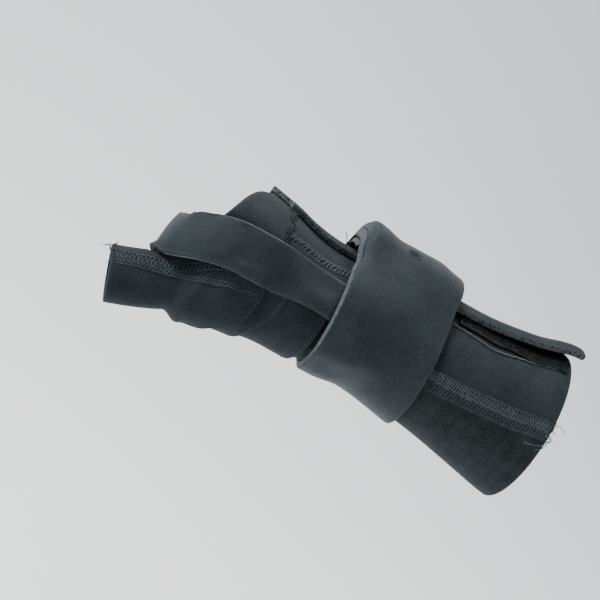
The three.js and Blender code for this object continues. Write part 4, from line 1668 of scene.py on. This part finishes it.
@dataclass(frozen=True)
class Hooks:
    """The hook tape: black plastic hooks on a woven ground.

    Attributes:
        name: The material's name.
        dark: The ground's colour.
        light: The hooks' colour.
    """

    name: str = "hook_tape"
    dark: Colour = (0.002, 0.0034, 0.0034)
    light: Colour = (0.03, 0.046, 0.045)

    def material(self) -> bpy.types.Material:
        """Builds it.

        Returns:
            The material.
        """
        s = Shader(self.name)
        where = s.node("ShaderNodeTexCoord").outputs["Object"]
        cells = s.node("ShaderNodeTexVoronoi", Vector=where, Scale=1 / (0.8 * MM), Randomness=0.7)
        tips = s.range(cells.outputs["Distance"], 0.5, 0.1)
        share = s.math("MULTIPLY", tips, s.range(s.noise(2.0), 0.35, 0.65))
        colour = s.colours(share, (0.0, self.dark), (1.0, self.light))
        return s.finish(colour, 0.55, tips, 0.4, 0.9)


class Finish(Enum):
    """The finishes, each with its recipe."""

    SLEEVE = Knit("sleeve_knit", (0.0022, 0.0038, 0.0044), (0.0205, 0.0295, 0.034), rib=0.95,
                  rib_share=0.4, grain=0.8, grain_share=0.6)
    PLUSH = Knit("plush_knit", (0.0022, 0.0039, 0.0043), (0.02, 0.0295, 0.033), rib=1.2, rib_share=0.25,
                 grain=0.9, grain_share=0.75, emboss=6.5)
    STRAP = Knit("strap_knit", (0.0026, 0.0045, 0.0054), (0.0235, 0.0345, 0.0395), rib=0.6, rib_share=0.3,
                 stitch=0.6, grain=0.75, grain_share=0.65, depth=0.12, sheen=0.12, roughness=(0.5, 0.7))
    LINING = Knit("lining_knit", (0.003, 0.004, 0.0046), (0.016, 0.021, 0.024), rib=0.8, sheen=0.02)
    CUT = Foam("cut_edge")
    STRAP_CUT = Foam("strap_cut_edge", (0.085, 0.1, 0.103), depth=0.4)
    FLAP_CUT = Foam("flap_cut_edge", (0.066, 0.08, 0.079), pores=1.5, face=0.05, depth=0.95)
    THREAD = Thread("stitching")
    # A lighter copy of the thread: painted highlight on the seams' loops, and the pale colour of the tape's
    # edge and the loose strands
    PALE_AND_HIGHLIT_THREAD = Thread("pale_and_highlit_stitching", (0.022, 0.028, 0.03), (0.085, 0.105, 0.108))
    DARK_THREAD = Thread("dark_stitching", (0.005, 0.007, 0.008), (0.026, 0.034, 0.038))
    HOOKS = Hooks()

    def built(self) -> bpy.types.Material:
        """The finish's material, built once.

        Returns:
            The material.
        """
        kept = bpy.data.materials.get(DRESSED + self.value.name)
        return kept or self.value.material()


def dressed(made: Piece, slot: str, *finishes: Finish) -> Piece:
    """Gives a piece its finishes and its place on the splint.

    Args:
        made: The piece.
        slot: The record's material slot; not used.
        *finishes: One for each material index.

    Returns:
        The piece.
    """
    parts = np.zeros(len(made.data.polygons), np.int32)
    made.data.polygons.foreach_get("material_index", parts)
    made.data.materials.clear()
    for finish in finishes:
        made.data.materials.append(finish.built())
    made.data.polygons.foreach_set("material_index", np.minimum(parts, len(finishes) - 1))
    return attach(made, "root")


def stitch_path(layer: Layer, u: Array | float, v: Array | float, lift: float) -> Path:
    """A path on a layer's outer face.

    Args:
        layer: The layer.
        u: Shares along it.
        v: Shares across it.
        lift: Millimetres over the face.

    Returns:
        The path.
    """
    return Path.over(layer.at(u, v, layer.wall + lift), layer.at(u, v, layer.wall - 1.0))


def limb_path(x: Array | float, angle: Array, height: Array | float) -> Path:
    """A path at a height over the limb.

    Args:
        x: Places along the limb.
        angle: Degrees round it.
        height: Millimetres over the body.

    Returns:
        The path.
    """
    x, angle = np.broadcast_arrays(np.asarray(x, float), np.asarray(angle, float))
    swell = seam_swell(x, angle)
    return Path.over(BODY.on_limb(x, angle, height + swell), BODY.on_limb(x, angle, height - 1.0))


def marked_path(places: Places, height: float, points: int = 60) -> Path:
    """A path over the limb through marked places.

    Args:
        places: The places along the limb and the angles round it.
        height: Millimetres over the body.
        points: How many points it has.

    Returns:
        The path.
    """
    along, angles = np.array(places).T
    x = np.linspace(along[0], along[-1], points)
    return limb_path(x, curve_at(along, angles, x), height)


def loose_path(places: Places, points: int = 30) -> Path:
    """The path of a thread that stands off the cloth.

    Args:
        places: The places, angles and heights that it passes.
        points: How many points it has.

    Returns:
        The path.
    """
    rows, steps = np.linspace(0, 1, len(places)), np.linspace(0, 1, points)
    return limb_path(*(curve_at(rows, column, steps) for column in np.array(places).T))


@dataclass
class Trees:
    """The node trees, made once for the whole splint."""

    loops: LoopTree = field(default_factory=LoopTree)
    dashes: DashTree = field(default_factory=DashTree)
    fray: FrayTree = field(default_factory=FrayTree)


@dataclass
class SubAssembly:
    """Layers that are sewn together, with their stitches.

    Attributes:
        trees: The stitch trees.
    """

    trees: Trees

    def cloth(self, layer: Layer, slot: str, finishes: tuple[Finish, Finish, Finish]) -> Piece:
        """Builds a layer in place of its CAD node.

        Args:
            layer: The layer.
            slot: The record's material slot.
            finishes: The finishes of its face, lining and edge.

        Returns:
            The piece.
        """
        made = ClothMesh(layer).build()
        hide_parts(layer.name)
        LOG.info("%s: %d faces", made.name, len(made.data.polygons))
        return dressed(made, slot, *finishes)

    def thread(self, tree: StitchTree, path: Path, name: str, finish: Finish,
               **values: object) -> Piece:
        """Runs a stitch tree along a path.

        Args:
            tree: The tree.
            path: What it follows.
            name: The piece's name.
            finish: The thread's finish.
            **values: The tree's inputs.

        Returns:
            The piece.
        """
        made = tree.along(path, name, Material=finish.built(), **values)
        LOG.info("%s: %d faces", name, len(made.data.polygons))
        return dressed(made, "stitching", finish)

    def strand(self, places: Places, name: str, finish: Finish, thick: float) -> Piece:
        """One loose thread.

        Args:
            places: The places, angles and heights that it passes.
            name: The piece's name.
            finish: The thread's finish.
            thick: Its radius in metres.

        Returns:
            The piece.
        """
        return self.thread(self.trees.loops, loose_path(places), name, finish, Pitch=0.003, Width=0.0,
                           Height=0.0, Loop=0.0, Jitter=0.0, Thread=thick)


@dataclass
class Sleeve(SubAssembly):
    """The three panels of the hand, wrist and forearm, with their seams.

    Attributes:
        seam_from: Where the elbow seam's stitches start along X, in millimetres.
        seam_rows: Each of its rows: name, finish, millimetres to the seam's left and the tree's inputs.
        strands: Each loose thread's name, and the places, angles and heights that it passes.
        back_seam: Places and angles of the seam beside the narrow strap.
    """

    seam_from: float = 21.0
    seam_rows: tuple[tuple[str, Finish, float, dict[str, float]], ...] = (
        ("elbow_seam_tall", Finish.PALE_AND_HIGHLIT_THREAD, 2.5,
         dict(Pitch=0.00125, Width=0.0046, Loop=0.28, Jitter=0.5)),
        ("elbow_seam_top", Finish.DARK_THREAD, 4.8,
         dict(Pitch=0.0019, Width=0.0007, Loop=0.4, Seed=4.0)),
        ("elbow_seam_low", Finish.THREAD, -2.0,
         dict(Pitch=0.0016, Width=0.0036, Loop=0.42, Jitter=0.5, Seed=9.0)),
        ("elbow_seam_bottom", Finish.DARK_THREAD, -4.1,
         dict(Pitch=0.0021, Width=0.0007, Loop=0.4, Seed=14.0)),
    )
    strands: tuple[tuple[str, Places], ...] = (
        ("elbow_strand_long",
         ((84.5, 9.0, 2.6), (87.0, 6.0, 3.4), (85.0, 1.5, 4.6), (81.0, -1.5, 5.2), (77.0, -2.5, 5.0))),
        ("elbow_strand_short", ((84.0, 8.0, 2.6), (86.5, 4.5, 3.6), (85.5, -1.0, 4.4), (83.0, -4.0, 4.6))),
        ("elbow_strand_tip", ((84.5, 16.0, 2.6), (88.5, 17.0, 3.4), (91.0, 14.0, 4.4))),
    )
    back_seam: Places = ((-57.0, 21.0), (-50.0, 27.0), (-30.0, 38.0), (-24.0, 41.0))

    def build(self) -> list[Piece]:
        """Makes the panels and their seams.

        Returns:
            The pieces.
        """
        knit = (Finish.SLEEVE, Finish.LINING, Finish.CUT)
        side, hand = (self.cloth(layer, "sleeve_knit", knit) for layer in (thumb_side_panel(), hand_panel()))
        palm = self.cloth(palm_panel(), "plush_knit", (Finish.PLUSH, Finish.LINING, Finish.FLAP_CUT))
        elbow, back, cross = self._elbow_seam(), self._back_seam(), self._hand_seam()
        return [side, hand, palm, *elbow, *back, *cross]

    def _elbow_seam(self) -> list[Piece]:
        """The two rows of loops on the side seam, with the frayed ends at the elbow.

        Returns:
            The threads.
        """
        x = np.linspace(self.seam_from, SLEEVE_REACH - 0.6, 120)
        seam = limb_path(x, side_seam(x), SLEEVE_WALL + 0.05)
        rows = [self.thread(self.trees.loops, seam.shifted(across), name, finish, Height=0.0002,
                            Thread=0.0002, **inputs) for name, finish, across, inputs in self.seam_rows]
        end = limb_path(SLEEVE_REACH - 0.8, np.linspace(2, 19, 24), SLEEVE_WALL - 0.2)
        tails = Path(end.points, unit(0.5 * end.out + np.array([0.9, 0.0, -0.2])))
        rows.append(self.thread(self.trees.fray, tails, "elbow_seam_tails", Finish.THREAD, Spacing=0.0014,
                                Length=0.0042, Spread=0.6, Bend=0.7, Thread=0.0002))
        rows += [self.strand(places, name, Finish.PALE_AND_HIGHLIT_THREAD, 0.00016) for name, places in self.strands]
        return rows

    def _back_seam(self) -> list[Piece]:
        """The bright zigzag seam between the narrow strap and the flap.

        Returns:
            The threads.
        """
        seam = marked_path(self.back_seam, SLEEVE_WALL + 0.1)
        return [
            self.thread(self.trees.loops, seam, "back_seam_loops", Finish.PALE_AND_HIGHLIT_THREAD, Pitch=0.002,
                        Width=0.003, Height=0.0005, Loop=0.4, Thread=0.00026, Jitter=1.1, Seed=21.0),
            self.thread(self.trees.loops, seam.shifted(-1.7, 0.1), "back_seam_edge", Finish.THREAD,
                        Pitch=0.0016, Width=0.0009, Height=0.0005, Loop=0.42, Thread=0.00024, Jitter=0.4,
                        Seed=25.0),
        ]

    def _hand_seam(self) -> list[Piece]:
        """The overlocked and frayed seam across the back of the hand.

        Returns:
            The threads.
        """
        angle = np.linspace(-14, UNDER_EDGE - 2, 90)
        x = -HAND_SEAM - 0.4 + 0.9 * np.sin(angle * 0.35) * np.sin(angle * 0.11 + 1)
        seam = limb_path(x, angle, SLEEVE_WALL + 0.1)
        return [
            self.thread(self.trees.loops, seam, "hand_seam_loops", Finish.DARK_THREAD, Pitch=0.0015,
                        Width=0.0024, Height=0.0009, Loop=0.4, Thread=0.00024, Jitter=0.8, Seed=31.0),
            self.thread(self.trees.fray, seam, "hand_seam_fray", Finish.THREAD, Spacing=0.0005, Length=0.0022,
                        Spread=1.1, Bend=0.8, Thread=0.00012, Seed=8),
        ]


@dataclass
class Closure(SubAssembly):
    """The hooks that hold the flap, and the tape that they are woven into.

    Attributes:
        row_gap: Millimetres between rows of hooks.
        loose_end: The places, angles and heights of a loose thread at the flap's edge.
        tape: Places and angles of the tape's pale edge.
    """

    row_gap: float = 1.0
    loose_end: Places = ((-31.0, 70.0, 5.5), (-32.0, 72.0, 9.0), (-34.5, 73.0, 12.0))
    tape: Places = ((27.0, 53.0), (40.0, 52.5), (48.0, 50.5), (54.0, 52.0), (64.0, 56.0), (82.0, 59.0))

    def build(self) -> list[Piece]:
        """Makes the strip, its hooks and the tape's edge.

        Returns:
            The pieces.
        """
        layer = hook_strip()
        strip = self.cloth(layer, "hook_tape", (Finish.HOOKS, Finish.HOOKS, Finish.HOOKS))
        rows = int(HOOK_FIELD / self.row_gap)
        run = np.linspace(0.02, 0.98, HOOKS_A_ROW)
        u = np.concatenate([run if row % 2 == 0 else run[::-1] for row in range(rows)])
        v = np.repeat(0.04 + 0.92 * np.arange(rows) / (rows - 1), HOOKS_A_ROW)
        hooks = self.thread(self.trees.fray, stitch_path(layer, u, v, -0.05), "hook_field", Finish.HOOKS,
                            Spacing=0.0011, Length=0.0011, Least=0.6, Spread=0.35, Bend=0.8, Thread=0.0002,
                            Seed=12)
        line = self.thread(self.trees.loops, marked_path(self.tape, SLEEVE_WALL + 0.35), "hook_tape_edge",
                           Finish.PALE_AND_HIGHLIT_THREAD, Pitch=0.004, Width=0.0, Height=0.0002, Loop=0.0,
                           Thread=0.0004, Jitter=0.0)
        frayed = stitch_path(palm_panel(), np.linspace(0.02, 0.36, 60), 0.002, -0.8)
        nap = self.thread(self.trees.fray, frayed, "flap_edge_fray", Finish.DARK_THREAD, Spacing=0.0005,
                          Length=0.002, Spread=0.9, Bend=0.7, Thread=0.00016, Seed=27)
        end = self.strand(self.loose_end, "flap_loose_end", Finish.DARK_THREAD, 0.0002)
        return [strip, hooks, line, nap, end]


@dataclass
class ThumbPiece(SubAssembly):
    """The sleeve of the thumb, and the wrap and pocket that it lies on.

    Attributes:
        mouth_angle: Where the seam's middle lies round the thumb at its opening, in degrees.
        tail_angle: Where it lies at its other end.
    """

    mouth_angle: float = 44.0
    tail_angle: float = 25.0

    def build(self) -> list[Piece]:
        """Makes the three sheets and their stitches.

        Returns:
            The pieces.
        """
        layers = (thumb_wrap(), stay_pocket(), thumb_sleeve())
        knit = (Finish.SLEEVE, Finish.LINING, Finish.CUT)
        wrap, pocket, tube = (self.cloth(layer, "sleeve_knit", knit) for layer in layers)
        share = np.linspace(0.02, 0.98, 80)
        wrap_row = self.thread(self.trees.dashes, stitch_path(layers[0], 0.975, share, 0.02),
                               "wrap_stitches", Finish.DARK_THREAD, Pitch=0.0022, Dash=0.0014)
        pocket_row = self.thread(self.trees.dashes, stitch_path(layers[1], 0.93, share, 0.02),
                                 "pocket_stitches", Finish.THREAD, Pitch=0.0024, Dash=0.0017, Thread=0.00016)
        seam = self._seam(layers[2])
        return [wrap, pocket, tube, wrap_row, pocket_row, *seam]

    def _seam(self, tube: Layer) -> list[Piece]:
        """The two rows along the thumb, and the fibres at its opening.

        Args:
            tube: The thumb sleeve.

        Returns:
            The threads.
        """
        beads = self._row(tube, self.mouth_angle - 9, self.tail_angle - 10)
        tall = self._row(tube, self.mouth_angle + 9, self.tail_angle + 9)
        mouth = stitch_path(tube, 0.004, np.linspace(215, 262, 30) / 360, -0.6)
        fibres = Path(mouth.points, unit(mouth.out + np.array([-0.9, 0.0, 0.1])))
        return [
            self.thread(self.trees.loops, tall, "thumb_seam_tall", Finish.THREAD, Pitch=0.0018,
                        Width=0.0042, Height=0.0003, Loop=0.4, Thread=0.00022, Jitter=0.7, Seed=41.0),
            self.thread(self.trees.loops, beads, "thumb_seam_beads", Finish.THREAD, Pitch=0.0019,
                        Width=0.0019, Height=0.0003, Loop=0.45, Thread=0.00025, Jitter=0.6, Seed=45.0),
            self.thread(self.trees.fray, fibres, "thumb_mouth_fray", Finish.THREAD, Spacing=0.0005,
                        Length=0.0038, Spread=1.0, Bend=0.9, Thread=0.00024, Seed=17),
        ]

    def _row(self, tube: Layer, at_mouth: float, at_tail: float) -> Path:
        """The line of one row of stitches.

        Args:
            tube: The thumb sleeve.
            at_mouth: Degrees round the thumb at its opening.
            at_tail: Degrees at its other end.

        Returns:
            The path.
        """
        u = np.linspace(0.01, 0.97, 90)
        return stitch_path(tube, u, (mix(at_mouth, at_tail, smoothstep(u, 0.1, 0.65)) + 180) / 360, 0.0)


@dataclass
class Straps(SubAssembly):
    """The narrow strap through the web of the thumb and the wide strap round the wrist."""

    def build(self) -> list[Piece]:
        """Makes both straps.

        Returns:
            The pieces.
        """
        finishes = (Finish.STRAP, Finish.LINING, Finish.STRAP_CUT)
        narrow, wide = (self.cloth(layer, "strap_knit", finishes) for layer in (web_strap(), wrist_strap()))
        self._punch(wide)
        return [narrow, wide]

    def _punch(self, strap: Piece) -> None:
        """Cuts the small round hole.

        Args:
            strap: The wide strap.
        """
        x = np.array([STRAP_HOLE_ALONG])
        surface = BODY.on_limb(x, np.array([STRAP_HOLE_ANGLE]), SLEEVE_WALL)[0]
        cy, cz, _, _ = BODY.section(x)
        out = unit(surface - np.array([STRAP_HOLE_ALONG, cy[0], cz[0]]))
        depth = 8 * WRIST_STRAP_WALL
        middle = surface + out * (depth / 2 - SLEEVE_WALL)
        count = STRAP_HOLE_SIDES
        turn = np.linspace(0, math.tau, count + 1)[:-1]
        sideways = unit(np.cross(out, [1.0, 0.0, 0.0]))
        ahead = np.cross(sideways, out)
        ring = STRAP_HOLE_RADIUS * (np.cos(turn)[:, None] * sideways + np.sin(turn)[:, None] * ahead)
        points = np.vstack([middle - out * depth / 2 + ring, middle + out * depth / 2 + ring]) * MM
        sides = [(i, (i + 1) % count, count + (i + 1) % count, count + i) for i in range(count)]
        ends = [tuple(range(count - 1, -1, -1)), tuple(range(count, 2 * count))]
        mesh = bpy.data.meshes.new("punch")
        mesh.from_pydata(points.tolist(), [], [*sides, *ends])
        # The hole's wall takes the dark lining in place of the foam edge: painted shade inside the hole
        for finish in (Finish.STRAP, Finish.LINING):
            mesh.materials.append(finish.built())
        mesh.polygons.foreach_set("material_index", np.ones(len(mesh.polygons), np.int32))
        punch = shown(mesh, "punch")
        cut = strap.modifiers.new("hole", "BOOLEAN")
        cut.operation, cut.object, cut.solver = "DIFFERENCE", punch, "MANIFOLD"
        before = len(strap.data.polygons)
        settled(strap)
        LOG.info("hole: %d faces became %d", before, len(strap.data.polygons))
        bpy.data.objects.remove(punch)


@dataclass(frozen=True)
class SoftLight:
    """A soft round light that faces the object.

    Attributes:
        name: Its name.
        side: Metres to the camera's right.
        rise: Metres up the camera's frame.
        near: Metres from the object towards the camera.
        size: Its width in metres.
        power: Its watts.
        colour: Its colour.
    """

    name: str
    side: float
    rise: float
    near: float
    size: float
    power: float
    colour: Colour = (1.0, 1.0, 1.0)


@dataclass
class Studio:
    """The camera at the photograph's viewing angle, the floor and the lights.

    Attributes:
        azimuth: Degrees round the object.
        elevation: Degrees over the horizon.
        roll: How far the camera is turned on its own axis, in degrees.
        distance: From the origin, in metres.
        pitch: The photograph's millimetres a pixel at the origin.
        origin: Where the origin falls in the photograph, in pixels.
        floor: The floor's height in metres.
        sweep: How far the floor reaches to the sides and the front, in metres.
        wall: How far behind the object it has turned up into a wall.
        bend: The radius of that turn.
        paper: The floor's colour.
        sky: The surroundings' colour.
        lights: The lights.
    """

    azimuth: float = -12.0
    elevation: float = 6.0
    roll: float = 32.0
    distance: float = 0.65
    pitch: float = 0.455
    origin: tuple[float, float] = (373.0, 325.0)
    floor: float = -0.2
    sweep: float = 5.0
    wall: float = 1.6
    bend: float = 1.2
    paper: Colour = (0.96, 0.965, 0.97)
    sky: Colour = (0.5, 0.53, 0.56)
    lights: tuple[SoftLight, ...] = (
        SoftLight("key", side=-0.1, rise=1.1, near=0.45, size=0.45, power=26.0),
        SoftLight("rim", side=0.6, rise=0.8, near=-0.3, size=0.4, power=5.0),
        SoftLight("fill", side=0.6, rise=-0.3, near=0.9, size=0.8, power=1.6, colour=(0.9, 0.96, 1.0)),
    )

    def axes(self) -> tuple[Vector, Vector, Vector]:
        """The camera's own directions.

        Returns:
            Right, up and back.
        """
        a, e, r = (math.radians(v) for v in (self.azimuth, self.elevation, self.roll))
        back = Vector((math.sin(a) * math.cos(e), -math.cos(a) * math.cos(e), math.sin(e)))
        right = Vector((math.cos(a), math.sin(a), 0))
        up = back.cross(right)
        return right * math.cos(r) + up * math.sin(r), up * math.cos(r) - right * math.sin(r), back

    def camera(self) -> Piece:
        """Sets the camera.

        Returns:
            It.
        """
        right, up, back = self.axes()
        data = bpy.data.cameras.new("photo_view")
        data.sensor_width = 36.0
        data.lens = 36.0 * self.distance / (self.pitch * MM) / PHOTO_SIZE
        data.shift_x = (PHOTO_SIZE / 2 - self.origin[0]) / PHOTO_SIZE
        data.shift_y = (self.origin[1] - PHOTO_SIZE / 2) / PHOTO_SIZE
        data.clip_start, data.clip_end = 0.01, 50.0
        made = bpy.data.objects.new("photo_view", data)
        bpy.context.scene.collection.objects.link(made)
        turned = Matrix((right, up, back)).transposed().to_4x4()
        made.matrix_world = Matrix.Translation(back * self.distance) @ turned
        bpy.context.scene.camera = made
        return made

    def light(self, light: SoftLight) -> Piece:
        """Adds a light.

        Args:
            light: What it is.

        Returns:
            Its object.
        """
        right, up, back = self.axes()
        data = bpy.data.lights.new(light.name, "AREA")
        data.shape, data.size, data.energy, data.color = "DISK", light.size, light.power, light.colour
        made = bpy.data.objects.new(light.name, data)
        bpy.context.scene.collection.objects.link(made)
        place = right * light.side + up * light.rise + back * light.near
        made.matrix_world = Matrix.Translation(place) @ place.to_track_quat("Z", "Y").to_matrix().to_4x4()
        return made

    def backdrop(self) -> Piece:
        """The plain pale floor, with the sky in its tone.

        Returns:
            The floor.
        """
        shader = Shader("floor_paper")
        shader.surface.inputs["Base Color"].default_value = (*self.paper, 1)
        shader.surface.inputs["Roughness"].default_value = 0.95
        shader.surface.inputs["Specular IOR Level"].default_value = 0.0
        turn = np.linspace(0, math.pi / 2, 24)
        rounded = zip(self.wall + self.bend * (np.sin(turn) - 1), self.bend * (1 - np.cos(turn)))
        run = [(-self.sweep, 0.0), *rounded, (self.wall, 2 * self.sweep)]
        points = [(side * self.sweep, float(y), float(z)) for y, z in run for side in (-1, 1)]
        faces = [(2 * i, 2 * i + 1, 2 * i + 3, 2 * i + 2) for i in range(len(run) - 1)]
        mesh = bpy.data.meshes.new("floor")
        mesh.from_pydata(points, [], faces)
        mesh.polygons.foreach_set("use_smooth", np.ones(len(faces), bool))
        mesh.materials.append(shader.material)
        made = shown(mesh, "floor")
        made.location.z = self.floor
        world = bpy.data.worlds.new("studio")
        world.use_nodes = True
        background = world.node_tree.nodes["Background"]
        background.inputs["Color"].default_value = (*self.sky, 1)
        background.inputs["Strength"].default_value = 1.0
        bpy.context.scene.world = world
        return made

    def build(self) -> None:
        """Sets the camera, the floor and the lights."""
        self.camera()
        self.backdrop()
        for light in self.lights:
            self.light(light)


def main() -> None:
    """Builds the splint over its frame."""
    logging.basicConfig(level=logging.INFO, format="%(name)s %(message)s")
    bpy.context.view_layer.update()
    Studio().build()
    trees = Trees()
    for part in (Sleeve(trees), Closure(trees), ThumbPiece(trees), Straps(trees)):
        pieces = part.build()
        LOG.info("%s: %d pieces", type(part).__name__, len(pieces))


if __name__ == "__main__":
    main()
